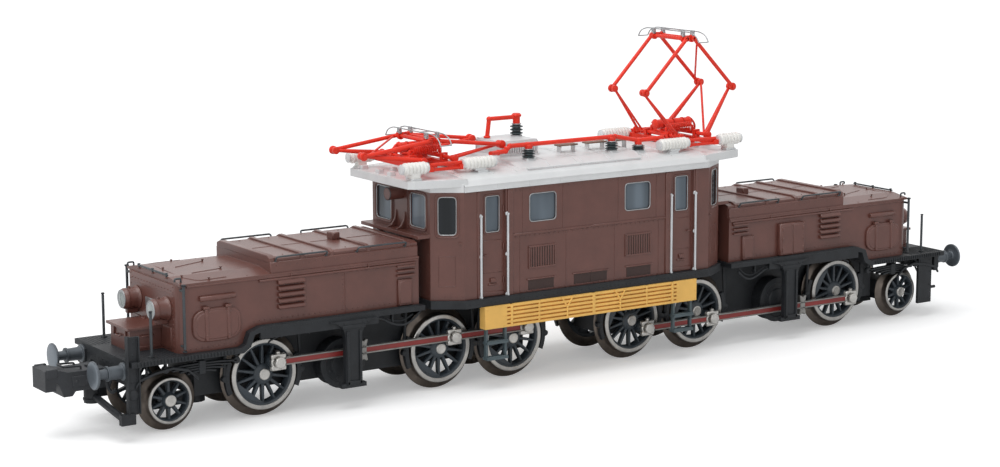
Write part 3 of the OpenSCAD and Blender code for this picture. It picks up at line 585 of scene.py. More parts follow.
CAB_LOW, CAB_HIGH = corners("cab_body")
SIDE_Y = CAB_HIGH.y
SIDE_END = 18.1
NOSE_X = CAB_HIGH.x
NOSE_Y = SIDE_Y - 2.17
FLOOR_Z = CAB_LOW.z
EAVES_Z = CAB_HIGH.z
DOOR_X = (12.3, 15.7)
DOOR_Y = SIDE_Y - 0.3
WINDOW_X, WINDOW_Z = (5.12, 8.91), (19.6, 22.93)
DOOR_WINDOW_X, DOOR_WINDOW_Z = (13.05, 14.95), (18.85, 23.1)
NOSE_WINDOW_Y, NOSE_WINDOW_Z = (2.2, 5.5), (19.5, 23.4)
CORNER_WINDOW_Z = (18.9, 23.35)
CORNER_HALF = 1.05
CORNER_TURN = math.atan2(NOSE_Y - SIDE_Y, NOSE_X - SIDE_END)
CORNER = (Matrix.Translation(((SIDE_END + NOSE_X) / 2, (SIDE_Y + NOSE_Y) / 2, 0))
          @ Matrix.Rotation(CORNER_TURN, 4, "Z"))


def window_rims(sizes):
    """Bright rims round every window of the cab."""
    shape = Shape()
    r = sizes.rim / MM
    for _ in each(shape):
        shape.rim(WINDOW_X, WINDOW_Z, SIDE_Y + 0.01, r, 0.5)
        shape.rim(DOOR_WINDOW_X, DOOR_WINDOW_Z, DOOR_Y + 0.01, r, 0.3)
        shape.rim(NOSE_WINDOW_Y, NOSE_WINDOW_Z, NOSE_X + 0.01, r, 0.5, "yz")
        shape.placed = shape.placed @ CORNER
        shape.rim((-CORNER_HALF, CORNER_HALF), CORNER_WINDOW_Z, 0.01, r, 0.5)
    shape.piece("window_rims", "cab", "collector_silver", "rim")


def window_frames(sizes):
    """Brown mouldings outside the bright rims."""
    shape = Shape()
    for _ in each(shape):
        shape.rim(wider(DOOR_WINDOW_X, 0.22), wider(DOOR_WINDOW_Z, 0.22), DOOR_Y, 0.09, 0.4)
        shape.rim(wider(NOSE_WINDOW_Y, 0.25), wider(NOSE_WINDOW_Z, 0.25), NOSE_X, 0.12, 0.6, "yz")
        shape.placed = shape.placed @ CORNER
        shape.rim(about(0, CORNER_HALF + 0.3), wider(CORNER_WINDOW_Z, 0.3), 0, 0.12, 0.6)
        # A ruled panel below the corner window
        shape.rim((-0.95, 1.0), (12.85, 16.4), 0, sizes.seam / MM, 0.1)
        shape.knob((-1.5, 0, 17.9), OUT, 0.16, 0.25)
        shape.rivets(*ends((-1.75, 1.65), 0, 11.6), 6, OUT, sizes.rivet / MM * 0.8)
    shape.piece("window_mouldings", "cab", "body_brown", "body")


def side_panels(sizes):
    """Belt line, pilasters, seams, rivets and door furniture of the side walls."""
    shape = Shape(sizes.edge / MM)
    rivet, seam = sizes.rivet / MM, sizes.seam / MM
    for _ in each(shape):
        y = SIDE_Y
        shape.block((0, 11.3), (y - 0.1, y + 0.12), (18.1, 18.4))
        shape.block((11.3, 12.05), (y - 0.1, y + 0.16), (FLOOR_Z, EAVES_Z - 0.05))
        shape.block((15.95, 16.3), (y - 0.1, y + 0.12), (FLOOR_Z, EAVES_Z - 0.05))
        shape.rivets(*ends((0.5, 10.9), y, 17.95), 16, OUT, rivet)
        shape.rivets(*ends((0.5, 10.9), y, 11.35), 14, OUT, rivet)
        shape.rivets(*ends((0.5, 10.9), y, 23.5), 16, OUT, rivet * 0.8)
        shape.rivets(*ends(11.68, y + 0.15, (11.6, 23.4)), 15, OUT, rivet * 0.8)
        for x in (3.6, 10.3):
            shape.wire(ends(x, y, (11.2, 18.1)), seam)
        for x in (4.1, 9.9):
            shape.wire(ends(x, y, (18.5, 23.7)), seam)
        # Door: top and bottom rails, handle, kick plate and small vent
        shape.block(wider(DOOR_X, -0.1), about(DOOR_Y, 0.1), (11.2, 11.75))
        shape.block(wider(DOOR_X, -0.35), (DOOR_Y - 0.1, DOOR_Y + 0.07), (14.0, 17.9))
        shape.block((13.4, 14.6), (DOOR_Y - 0.1, DOOR_Y + 0.16), (12.5, 12.72))
        shape.block((13.65, 14.35), (DOOR_Y - 0.1, DOOR_Y + 0.24), (12.85, 13.35))
        shape.wire([(15.25, DOOR_Y, 16.2), (15.25, DOOR_Y + 0.28, 16.2),
                    (14.75, DOOR_Y + 0.28, 16.2)], 0.08, 0.12)
        for z in (13.0, 17.0, 21.5):
            shape.bar(*ends(12.5, DOOR_Y + 0.08, about(z, 0.35)), 0.09)
        # Lip over the floor openings
        for opening in ((5.3, 9.2), (0, 2.55)):
            shape.block(wider(opening, 0.1), (y - 0.1, y + 0.16), (12.6, 12.76))
    shape.piece("side_wall_trim", "cab", "body_brown", "body")


def grilles(sizes):
    """Slatted grilles on dark backing sheets, and dark sheets for the openings along the floor;
    both sheets are painted shade.
    """
    shape = Shape(0.03)
    for _ in each(shape):
        y = SIDE_Y
        x, z = (5.25, 9.0), (14.05, 16.6)
        # Dark backing sheet, painted shade inside the grille
        shape.finish = 1
        shape.block(wider(x, -0.1), (y - 0.05, y + 0.03), wider(z, -0.1))
        shape.finish = 0
        for level in z:
            shape.block(wider(x, 0.1), (y - 0.05, y + 0.14), about(level, 0.1))
        for edge in x:
            shape.block(about(edge, 0.1), (y - 0.05, y + 0.14), (z[0], z[1]))
        slats = 10
        for i in range(slats):
            at = x[0] + (i + 0.75) * (x[1] - x[0]) / (slats + 0.5)
            shape.block(about(at, 0.09), (y - 0.05, y + 0.12), wider(z, -0.05))
        # Dark sheets painted as the shade inside the openings along the floor
        shape.finish = 1
        for x in ((5.4, 9.1), (0.0, 2.45)):
            shape.block(x, (y - 0.05, y + 0.03), (11.4, 12.62))
    shape.piece("side_grilles", "cab", "body_brown", "body", "recess_shade")


def nose_walls(sizes):
    """Lamp, console fins, brackets, seams and rivets on the cab's ends."""
    shape = Shape(sizes.edge / MM)
    for _ in each(shape, sides=(RIGHT,)):
        x = NOSE_X
        shape.finish = 0
        for y in (-1.0, 1.0):
            shape.plate([(x - 0.1, 21.0), (x + 0.12, 20.9), (x + 0.3, 19.9), (x + 0.75, 19.25),
                         (x + 1.3, 18.97), (x - 0.1, 18.9)], about(y, 0.12))
        for side in SIDES:
            shape.plate([(x - 0.1, 18.6), (x + 1.4, 18.6), (x - 0.1, 17.6)],
                        about(side * 4.2, 0.12))
            shape.rivets(*ends(x, (side * 0.8, side * 6.2), 18.35), 8, ALONG, 0.07)
            shape.rivets(*ends(x, side * 6.2, (11.6, 18.2)), 9, ALONG, 0.07)
            shape.wire(ends(x + 0.05, side * 1.6, (18.6, 23.6)), 0.05)
        lamp = corners("cab_lamps")[1].x
        shape.finish = 1
        shape.turned([(0, 0.62), (0.14, 0.8), (0.22, 0.78), (0.22, 0.66), (0.1, 0.6)],
                     (lamp - 0.22, 0, 23.1), ALONG, 28)
        shape.finish = 2
        shape.turned([(0, 0.6), (0.08, 0.58), (0.12, 0.4), (0.14, 0)], (lamp - 0.14, 0, 23.1),
                     ALONG, 24)
    shape.piece("cab_nose_trim", "cab", "body_brown", "body", "wire", "lamp_glass")


def sill(sizes):
    """Rivets, brackets and pipes along the floor's edge."""
    low, high = corners("underframe")
    shape = Shape(0.05)
    rivet = sizes.rivet / MM
    for _ in each(shape):
        y = high.y
        shape.rivets(*ends((0.4, 17.6), y, low.z + 0.45), 30, OUT, rivet)
        shape.wire(ends((0, 18), y - 0.02, high.z - 0.06), 0.06)
        for x in (0.9, 3.6, 6.8, 10.2):
            shape.plate([(x - 0.15, low.z + 0.1), (x + 0.15, low.z + 0.1), (x + 0.15, 8.6),
                         (x - 0.15, 8.6)], (7.2, 7.45))
    shape.piece("sill_trim", "cab", "frame_grey", "frame")


# ---------------------------------------------------------------- coolers and steps


def cooler_trim(sizes):
    """Straps, forked brackets, bolts and lugs of the side coolers."""
    low, high = corners("cooler_left")
    y, top, bottom = -low.y, high.z, low.z
    # Foot of the forked bracket
    fork = 3.93
    shape = Shape(0.03)
    for _ in each(shape):
        shape.block((11.8, 12.1), (y - 0.3, y + 0.07), (bottom, top))
        shape.wire(ends(fork, y, (bottom + 0.05, bottom + 1.45)), 0.12, 0.0)
        for lean in (-0.8, 0.8):
            shape.wire([(fork, y, bottom + 1.4), (fork + lean, y, top - 0.05)], 0.11, 0.0)
            shape.knob((fork + lean, y - 0.05, top - 0.12), OUT, 0.15, 0.2)
        for x in (12.95, 15.4):
            for z in (bottom + 0.3, (bottom + top) / 2, top - 0.3):
                shape.rivet((x, y - 0.02, z), OUT, 0.1)
        for x in (0.1, 8.0):
            shape.block(about(x, 0.1), (y - 0.36, y + 0.03), (bottom, top))
        for x in (1.5, 5.5, 9.5, 13.8):
            shape.block(about(x, 0.25), (SIDE_Y - 0.3, y - 0.5), (top - 0.05, top + 0.02))
    shape.piece("cooler_brackets", "cab", "cooler_yellow", "cooler")


def step_trim(sizes):
    """Slatted treads, lips and bolts of the cab steps."""
    low, high = corners("cab_steps")
    shape = Shape(0.03)
    for _ in each(shape):
        treads = (high.x - 2.95, high.x)
        y = SIDE_Y - 0.1
        for z in (low.z + 0.3, low.z + 2.2):
            for i in range(5):
                along = y - 0.1 + i * 0.2
                shape.block(wider(treads, -0.35), about(along, 0.05), (z - 0.02, z + 0.06))
            shape.block(wider(treads, -0.05), (y + 0.66, y + 0.8), (z - 0.05, z + 0.12))
        for x in wider(treads, -0.15):
            for z in (4.4, 5.2, 6.4, 7.0):
                shape.rivet((x, y + 0.44, z), OUT, 0.07)
    shape.piece("step_treads", "cab", "step_grey", "steps")


def rail_feet(sizes):
    """Feet, caps and stays of the door handrails."""
    shape = Shape(0.03)
    for _ in each(shape):
        for x in wider(DOOR_X, 0.17):
            for z in (11.3, 16.1, 20.9):
                shape.turned([(0, 0.24), (0.1, 0.24), (0.16, 0.15)], (x, SIDE_Y - 0.02, z), OUT,
                             12)
            shape.turned([(0, 0.14), (0.1, 0.13), (0.16, 0.0)], (x, SIDE_Y + 0.22, 20.88), UP, 12)
            shape.bar(*ends(x, (SIDE_Y - 0.02, SIDE_Y + 0.22), 16.1), 0.09)
    shape.piece("handrail_feet", "cab", "rail_white", "rail_white")


# ---------------------------------------------------------------- roof

ROOF_HIGH = corners("cab_roof")[1]
CROWN_Z = EAVES_Z + 1.1


def roof_height(y):
    """Height of the curved roof at a distance from its middle."""
    share = max(-1.0, min(1.0, y / (ROOF_HIGH.y * 0.96)))
    return CROWN_Z + 1.2 * math.sqrt(max(0.0, 1 - share * share))


def raised_height(y):
    """Height of the raised roof at a distance from its middle."""
    y = abs(y)
    if y < 5.2:
        return EAVES_Z + 2.7 - 0.3 * y / 5.2
    return EAVES_Z + 2.4 - (y - 5.2) / 2.6


def roof_trim(sizes):
    """Seams, gutters, rails, blocks and bolts of the cab roof."""
    shape = Shape(0.04)
    seam = sizes.seam / MM
    arc = [k * 0.5 for k in range(-15, 16)]
    for _ in each(shape, sides=(RIGHT,)):
        for x in (9.9, 13.2, 17.6):
            shape.wire([(x, y, roof_height(y) + 0.01) for y in arc], seam * 1.3, 0.0)
        for x in (0.4, 4.5, 9.05):
            shape.wire([(x, y, raised_height(y) + 0.01) for y in arc], seam * 1.3, 0.0)
        shape.rivets(*ends(17.3, (-8, 8), CROWN_Z - 0.1), 2, UP, 0.08)
    for _ in each(shape):
        y = ROOF_HIGH.y
        shape.block((0, SIDE_END), (y - 0.2, y + 0.07), (EAVES_Z + 0.62, EAVES_Z + 0.8))
        shape.block((0, SIDE_END), (y - 0.2, y + 0.05), (EAVES_Z, EAVES_Z + 0.14))
        for x in (4.5, 9.0, 13.5, 17.9):
            shape.block(about(x, 0.06), (y - 0.2, y + 0.04), (EAVES_Z, EAVES_Z + 0.75))
        # Rail along the foot of the raised roof, on small posts
        shape.wire(ends((0, 8.4), 7.45, 25.72), 0.1, 0.2)
        for x in (0.6, 4.6, 8.3):
            shape.bar(*ends(x, 7.45, (25.2, 25.82)), 0.1)
        shape.block((9.0, 9.32), (-0.02, 7.9), (EAVES_Z + 1.02, EAVES_Z + 1.32))
        # Blocks on the visor
        tip, top = ROOF_HIGH.x, EAVES_Z + 1.55
        shape.block((tip - 1.5, tip - 0.7), (4.9, 5.7), (top - 0.05, top + 0.45))
        shape.block((tip - 1.3, tip - 0.6), (0.9, 1.8), (top - 0.05, top + 0.5))
        shape.block((tip - 3.6, tip - 2.9), (1.6, 2.3), (top - 0.05, top + 0.4))
        shape.rivets((SIDE_END + 0.8, y - 1.3, top), (tip - 0.4, NOSE_Y - 0.3, top), 6, UP, 0.07)
        shape.wire([(SIDE_END + 0.2, y - 0.4, top - 0.02), (tip - 0.75, NOSE_Y + 0.45, top - 0.02),
                    (tip - 0.15, NOSE_Y - 0.15, top - 0.02), (tip - 0.15, 0, top - 0.02)], 0.07,
                   0.1)
        # Bolts along the raised roof's foot
        shape.rivets(*ends((0.9, 8.8), 7.75, 25.3), 12, (0, 0.6, 0.8), 0.08)
    shape.piece("roof_trim", "cab", "roof_silver", "roof")


def walkway(sizes):
    """Boards over the raised roof, on short supports."""
    shape = Shape(0.04)
    middle, top = -2.3, 27.42
    for x in ((-0.6, 2.3), (3.6, 6.7), (8.0, 10.0)):
        for y in about(middle, 0.3):
            shape.block(x, about(y, 0.24), (top - 0.18, top))
    shape.finish = 1
    for x in (-0.2, 1.9, 4.0, 6.3, 8.3):
        shape.block(about(x, 0.08), about(middle, 0.4), (26.4, top - 0.17))
    shape.block((9.6, 9.76), about(middle, 0.4), (26.2, top - 0.17))
    shape.piece("roof_walkway", "cab", "roof_silver", "plank", "roof")


INSULATOR_R = 0.75
# Start, length and seat height of the long and the short white insulator
INSULATORS = ((12.1, 4.6, EAVES_Z + 2.1), (21.44, 3.6, EAVES_Z + 1.55))


def white_insulators(sizes):
    """Ribbed insulators on their chairs, under the pantographs."""
    high = corners("pantograph_insulators")[1]
    y, z = high.y - INSULATOR_R, high.z - INSULATOR_R
    shape = Shape(0.05)
    for _ in each(shape):
        for start, length, seat in INSULATORS:
            ribs = int(length / 0.52)
            pitch = (length - 0.7) / ribs
            profile = [(0, 0.42), (0.12, 0.55), (0.3, 0.55)]
            for k in range(ribs):
                at = 0.35 + k * pitch
                profile += [(at, 0.56), (at + pitch * 0.22, 0.74), (at + pitch * 0.5, INSULATOR_R),
                            (at + pitch * 0.72, 0.73), (at + pitch * 0.94, 0.56)]
            profile += [(length - 0.3, 0.55), (length - 0.12, 0.55), (length, 0.42)]
            shape.finish = 0
            shape.turned(profile, (start, y, z), ALONG, 28)
            mid = start + length / 2
            shape.block(about(mid, 0.6), about(y, 0.5), (seat + 0.2, z - 0.35), 0.08)
            shape.finish = 1
            shape.block(about(mid, 0.75), about(y, 0.6), (seat - 0.02, seat + 0.24), 0.06)
            for at in (start - 0.02, start + length - 0.2):
                shape.turned([(0, 0.4), (0.04, 0.6), (0.18, 0.62), (0.22, 0.5)], (at, y, z), ALONG,
                             20)
            for dx in (-0.6, 0.6):
                for dy in (-0.45, 0.45):
                    shape.rivet((mid + dx, y + dy, seat + 0.23), UP, 0.09)
    shape.piece("pantograph_insulators_ribbed", "cab", "insulator_white", "porcelain", "roof",
                stands_for=("pantograph_insulators",))


# The long lead's distance from the middle, and the high loop's feet
LEAD_Y = -4.5
LOOP_Y, LOOP_FEET = 1.5, (-3.9, -8.2)


def shed_insulator(shape, x, y, low, high):
    """A post insulator with three sheds between its light caps."""
    height = high - low
    shape.finish = 0
    profile = [(0, 0.5)]
    for k in range(3):
        at = height * (0.12 + 0.27 * k)
        profile += [(at, 0.5), (at + height * 0.05, 0.78), (at + height * 0.12, 0.8),
                    (at + height * 0.2, 0.5)]
    profile += [(height, 0.48)]
    shape.turned(profile, (x, y, low), UP, 28)
    shape.finish = 1
    shape.turned([(0, 0.72), (0.1, 0.72), (0.16, 0.52)], (x, y, low - 0.02), UP, 24)
    shape.turned([(0, 0.5), (0.06, 0.62), (0.14, 0.6), (0.16, 0.45)], (x, y, high - 0.14), UP, 24)


def post_insulators(sizes):
    """Dark insulators under the roof leads."""
    shape = Shape()
    for x, low, high in ((-6.2, 26.47, 27.65), (6.1, 26.47, 27.65), (10.2, 26.17, 26.9)):
        shed_insulator(shape, x, LEAD_Y, low, high)
    shed_insulator(shape, LOOP_FEET[0], LOOP_Y, 28.4, 29.9)
    shape.piece("post_insulators", "cab", "insulator_dark", "dark_porcelain", "rim",
                stands_for=("roof_insulators",))


def resistor_grid(sizes):
    """Slatted box on the roof."""
    low, high = corners("resistor_box")
    shape = Shape(0.05)
    shape.block((low.x + 0.25, high.x - 0.25), (low.y + 0.25, high.y - 0.25),
                (low.z, high.z - 0.35))
    for z in (low.z + 0.12, high.z - 0.3):
        shape.block((low.x, high.x), (low.y, high.y), about(z, 0.12))
    shape.block((low.x + 0.1, high.x - 0.1), (low.y + 0.1, high.y - 0.1),
                (high.z - 0.2, high.z - 0.02))
    steps = 15
    for i in range(steps + 1):
        x = low.x + 0.15 + i * (high.x - low.x - 0.3) / steps
        for y in (low.y + 0.12, high.y - 0.12):
            shape.block(about(x, 0.1), about(y, 0.12), (low.z + 0.1, high.z - 0.3), 0.03)
        y = low.y + 0.15 + i * (high.y - low.y - 0.3) / steps
        for x in (low.x + 0.12, high.x - 0.12):
            shape.block(about(x, 0.12), about(y, 0.1), (low.z + 0.1, high.z - 0.3), 0.03)
    for x in (low.x + 0.6, high.x - 0.6):
        for y in (low.y + 0.6, high.y - 0.6):
            shape.rivet((x, y, high.z - 0.04), UP, 0.05)
    shape.piece("resistor_grid", "cab", "roof_silver", "roof", stands_for=("resistor_box",))


def lead_clamps(sizes):
    """Clamps on the roof leads over their insulators, and caps on the high loop's ends."""
    shape = Shape(0.05)
    for x in (-6.2, 6.1):
        z = 28.15
        shape.turned([(0, 0.46), (0.1, 0.52), (0.3, 0.52), (0.45, 0.4)], (x, LEAD_Y, z - 0.42), UP,
                     20)
        shape.block(about(x, 0.32), about(LEAD_Y, 0.35), (z - 0.12, z + 0.27), 0.08)
        for side in (-0.42, 0.42):
            shape.bar(*ends(x, about(LEAD_Y + side, 0.06), z - 0.02), 0.14)
    for x, z in ((-9.3, 27.85), (10.2, 27.4)):
        shape.turned([(0, 0.32), (0.08, 0.4), (0.3, 0.4), (0.38, 0.32)], (x, LEAD_Y, z - 0.1), UP,
                     18)
    shape.turned([(0, 0.46), (0.12, 0.6), (0.3, 0.62), (0.42, 0.5), (0.5, 0.3), (0.52, 0)],
                 (LOOP_FEET[0], LOOP_Y, 30.65), UP, 20)
    shape.turned([(0, 0.3), (0.06, 0.42), (0.22, 0.42), (0.3, 0.3)], (LOOP_FEET[1], LOOP_Y, 28.4),
                 UP, 18)
    shape.piece("lead_clamps", "cab", "signal_red", "red")


# ---------------------------------------------------------------- pantographs

PANTO_X = 18.93
FEET_HALF, FOOT_Z, KNEE_HALF_W = 2.14, 27.3, 3.4
FOOT_HALF_W, BRACKET_Y = 4.2, 3.0
SPRING_Y, SPRING_Z, SPRING_END = 1.5, FOOT_Z + 0.85, 2.1
DRUM_Z = FOOT_Z + 1.2
# Distance between the foot ends of a pair of thin tubes
TUBE_GAP = 0.95
# Half the distance between a collector's two contact wires, and the tip of its horns
WIRES_HALF, HORN_Y = 0.75, 6.2


def base_trim(sizes):
    """Springs, drum ends, corner plates and bolts of the pantograph bases."""
    shape = Shape(0.04)
    for turn in (REAR, FRONT):
        shape.placed = turn @ Matrix.Translation((PANTO_X, 0, 0))
        for side in SIDES:
            y = side * SPRING_Y
            shape.coil(*ends((-1.85, 1.85), y, SPRING_Z), 0.46, 0.08, 13)
            shape.bar(*ends((-SPRING_END, SPRING_END), y, SPRING_Z), 0.1)
            for at in (-SPRING_END, SPRING_END):
                shape.bar(*ends(at, y, (FOOT_Z, FOOT_Z + 0.95)), 0.16)
            shape.turned([(-0.1, 0.56), (0, 0.66), (0.14, 0.64), (0.3, 0.4), (0.34, 0)],
                         (side * 2.6, 0, DRUM_Z), (side, 0, 0), 22)
            for at in (-1.6, 0.0, 1.6):
                shape.turned([(-0.09, 0.56), (-0.07, 0.62), (0.07, 0.62), (0.09, 0.56)],
                             (at, 0, DRUM_Z), ALONG, 22)
            for along in (-1, 1):
                x, y = along * FEET_HALF, side * FOOT_HALF_W
                shape.turned([(0, 0.34), (0.06, 0.44), (0.2, 0.44), (0.26, 0.34)],
                             (x, y + side * 0.44, FOOT_Z), (0, side, 0), 16)
                shape.block(about(x, 0.3), sorted((y + side * 0.46, y + side * 0.68)),
                            (FOOT_Z - 0.5, FOOT_Z - 0.3))
                shape.plate([(x - along * 1.0, side * 6.1), (x, side * 6.1), (x, side * 5.0)],
                            (FOOT_Z - 0.62, FOOT_Z - 0.42), "xy", 0.03)
                for out in (5.85, 6.3):
                    shape.rivet((x, side * out, FOOT_Z - 0.45), UP, sizes.rivet / MM)
            shape.rivets(*ends((-1.2, 1.2), side * 6.1, FOOT_Z - 0.07), 4, UP, 0.07)
        shape.wire([(2.5, 0, DRUM_Z + 0.45), (3.1, 0, DRUM_Z + 0.35), (3.75, 0, FOOT_Z + 0.7),
                    (3.6, 0, FOOT_Z - 0.13)], 0.14, 0.5)
        shape.block((3.4, 3.85), (-0.25, 0.25), (FOOT_Z - 0.2, FOOT_Z - 0.05))
    shape.piece("pantograph_base_fittings", "cab", "signal_red", "red")


def lower_arms(sizes):
    """Arms from the feet to the knees: stout tapered tubes on one arm, thin pairs on the other."""
    for end in ENDS:
        way, stout = WAY[end], STOUT[end]
        for arm in "ab":
            knee = joint_point(f"pantograph_{end}_upper_{arm}")
            foot = joint_point(f"pantograph_{end}_lower_{arm}")
            shape = Shape(0.03)
            shape.bar(*ends(foot.x, (-FOOT_HALF_W - 0.35, FOOT_HALF_W + 0.35), foot.z), 0.24,
                      sides=18)
            for side in SIDES:
                top = Vector((knee.x, side * (KNEE_HALF_W - 0.45), knee.z))
                low = Vector((foot.x, side * FOOT_HALF_W, foot.z))
                if arm == stout:
                    shape.bar(low, top, 0.36, 0.19, sides=16)
                else:
                    second = low - Vector((0, side * TUBE_GAP, 0))
                    shape.bar(low, top, 0.17, sides=14)
                    shape.bar(second, top, 0.13, sides=14)
                    for share in (0.25, 0.5):
                        shape.bar(low.lerp(top, share), second.lerp(top, share), 0.1)
                shape.turned([(0, 0.3), (0.05, 0.38), (0.35, 0.38), (0.4, 0.3)],
                             (foot.x, side * FOOT_HALF_W - 0.2, foot.z), OUT, 18)
                shape.turned([(0, 0.3), (0.06, 0.44), (0.44, 0.44), (0.5, 0.34), (0.52, 0.16),
                              (1.14, 0.16), (1.15, 0.27), (1.24, 0.27), (1.28, 0)],
                             (knee.x, side * (KNEE_HALF_W - 0.7), knee.z), (0, side, 0), 20)
            if arm == stout:
                shape.bar((foot.x, -way * (FOOT_HALF_W - 0.35), foot.z),
                          (knee.x, way * (KNEE_HALF_W - 0.55), knee.z), 0.15)
            shape.piece(f"lower_arm_tubes_{end}_{arm}", f"lower_arm_{end}_{arm}", "signal_red",
                        "red", stands_for=(f"lower_arm_{end}_{arm}",))


def upper_arms(sizes):
    """Knee hubs, apex eyes and cross tubes of the upper arms."""
    for end in ENDS:
        apex_a = joint_point(f"pantograph_{end}_collector")
        way, stout = WAY[end], STOUT[end]
        middle = PANTO_X * way
        for arm in "ab":
            knee = joint_point(f"pantograph_{end}_upper_{arm}")
            apex = Vector((apex_a.x if arm == "a" else 2 * middle - apex_a.x, 0, apex_a.z))
            wide = KNEE_HALF_W + 0.15
            shape = Shape(0.03)
            for side in SIDES:
                shape.turned([(0, 0.44), (0.04, 0.5), (0.3, 0.5), (0.34, 0.44)],
                             (knee.x, side * (KNEE_HALF_W - 0.02), knee.z), (0, side, 0), 18)
                near = knee.lerp(apex, 0.94)
                shape.turned([(0, 0.24), (0.06, 0.34), (0.36, 0.34), (0.42, 0.24)],
                             (apex.x, side * wide - 0.2, apex.z), OUT, 14)
                shape.bar((near.x, side * wide, near.z), (apex.x, side * (wide - 0.9), apex.z),
                          0.13)
            if arm == stout:
                start, stop = knee.lerp(apex, 0.93), knee.lerp(apex, 0.07)
                shape.bar((start.x, -way * wide, start.z), (stop.x, way * wide, stop.z), 0.13)
            shape.piece(f"upper_arm_tubes_{end}_{arm}", f"upper_arm_{end}_{arm}", "signal_red",
                        "red")


def collectors(sizes):
    """Thin contact wires and horns on the brackets of the collector heads."""
    for end in ENDS:
        apex = joint_point(f"pantograph_{end}_collector")
        middle = PANTO_X * WAY[end]
        half, top = abs(apex.x - middle), apex.z + 0.75
        shape = Shape(0.03)
        for side in SIDES:
            x = middle + side * WIRES_HALF
            horn = ((HORN_Y, top - 1.0), (5.7, top - 0.25), (4.5, top + 0.16))
            shape.wire([(x, -y, z) for y, z in horn] + [(x, y, z) for y, z in horn[::-1]], 0.075,
                       0.6)
            for y in (-BRACKET_Y, BRACKET_Y):
                shape.block(about(x, 0.16), about(y, 0.3), (top - 0.12, top + 0.26))
                shape.coil(*ends(x, y, (top - 0.5, top - 0.1)), 0.26, 0.05, 4)
        for y, rise, radius in ((HORN_Y, -1.0, 0.07), (1.4, 0.14, 0.06)):
            for at in (-y, y):
                shape.bar(*ends(about(middle, WIRES_HALF), at, top + rise), radius)
        shape.finish = 1
        for y in (-BRACKET_Y, BRACKET_Y):
            shape.block((middle - half - 0.5, middle + half + 0.5), about(y, 0.17),
                        (apex.z + 0.22, top - 0.35), 0.06)
            for x in about(middle, half):
                shape.turned([(0, 0.26), (0, 0.42), (0.06, 0.48), (0.36, 0.48), (0.42, 0.42),
                              (0.42, 0.26)], (x, y - 0.21, apex.z), OUT, 20, True)
            for x in about(middle, 0.5):
                shape.rivet((x, y + math.copysign(0.16, y), top - 0.44), (0, y, 0), 0.08)
        shape.piece(f"collector_head_{end}", f"collector_{end}", "collector_silver", "rim", "red",
                    stands_for=(f"collector_{end}",))


# ---------------------------------------------------------------- hoods

HOOD_LOW, HOOD_HIGH = corners("hood_rear")
DECK_Z, BOARD_Z = 8.9, 11.0
HOOD_END, HOOD_START = HOOD_HIGH.x, HOOD_LOW.x
HOOD_Y, HOOD_SIDE_Z = 6.65, 16.4
RAISED_Y, RAISED_EAVES_Z, RAISED_RIDGE_Z = 6.35, 18.2, 18.4
RAISED_END = 42.4
LAMP_Y, LAMP_Z = 3.75, 13.58


def low_roof(y):
    """Height of the front roof at a distance from its middle."""
    return HOOD_SIDE_Z + 0.7 - max(0.0, abs(y) - 4.0) * 0.165


def oval(x, z, half_x, half_z, steps=28):
    """The outline of a rounded hatch."""
    points = []
    for k in range(steps):
        a = 2 * math.pi * k / steps
        c, s = math.cos(a), math.sin(a)
        points.append((x + half_x * math.copysign(abs(c) ** 0.62, c),
                       z + half_z * math.copysign(abs(s) ** 0.62, s)))
    return points


def roof_ribs(shape, sizes):
    """Ribs, box, seam and flush side skins of the raised roof."""
    rise = sizes.rib / MM * 0.8
    top, eaves = RAISED_RIDGE_Z, RAISED_EAVES_Z
    right = [(RAISED_Y + 0.1, eaves - 0.4), (RAISED_Y + 0.1, eaves + rise * 0.6),
             (5.8, top + rise)]
    for x in (42.05, 38.2, 34.4, 29.6, 24.4):
        half = 0.38 if x > 42 else 0.26
        shape.plate([(-y, z) for y, z in right] + right[::-1], about(x, half), "yz")
    for x in (40.1, 36.3, 32.0, 27.0):
        for y in (-5.2, 5.2):
            shape.rivet((x, y, top), UP, sizes.rivet / MM)
    shape.block((29.9, 30.9), (-1.1, 0.4), (top - 0.05, top + 0.85), 0.12)
    shape.wire(ends((23.4, 42), 0, top), sizes.seam / MM)
    for side in SIDES:
        skin = side * (RAISED_Y + 0.26)
        shape.block((HOOD_START + 0.05, RAISED_END), sorted((side * (RAISED_Y - 0.1), skin)),
                    (HOOD_SIDE_Z - 0.1, eaves - 0.3), 0.08)
        shape.rivets(*ends((24.0, 41.6), skin, eaves - 0.7), 22, (0, side, 0),
                     sizes.rivet / MM * 0.8)


def front_roof(shape, sizes):
    """Lifting eyes, seams and rail feet of the front roof."""
    for x, y in ((46.3, -2.4), (46.6, 2.7), (49.75, 6.1), (52.3, 4.6), (52.2, -0.3),
                 (49.1, -4.65)):
        shape.knob((x, y, low_roof(y) - 0.03), UP, 0.16, 0.32)
    seam = sizes.seam / MM * 1.2
    for line in (((52.1, -1.8), (52.35, 1.7), (52.3, 4.8), (51, 6.2), (47.6, 6.0)),
                 ((52.1, -1.8), (52.0, -4.8), (50.6, -5.9), (47.4, -5.9)),
                 ((50.5, -0.7), (46.4, -2.3)), ((50.5, 3.45), (46.6, 2.7)),
                 ((45.2, -6.4), (45.2, 6.4))):
        shape.wire([(x, y, low_roof(y) + 0.01) for x, y in line], seam, 0.6)
    for y in (-3.5, 0, 3.5):
        shape.turned([(0, 0.26), (0.08, 0.26), (0.14, 0.16)],
                     (HOOD_END - 0.2, y, low_roof(y) - 0.25), UP, 12)


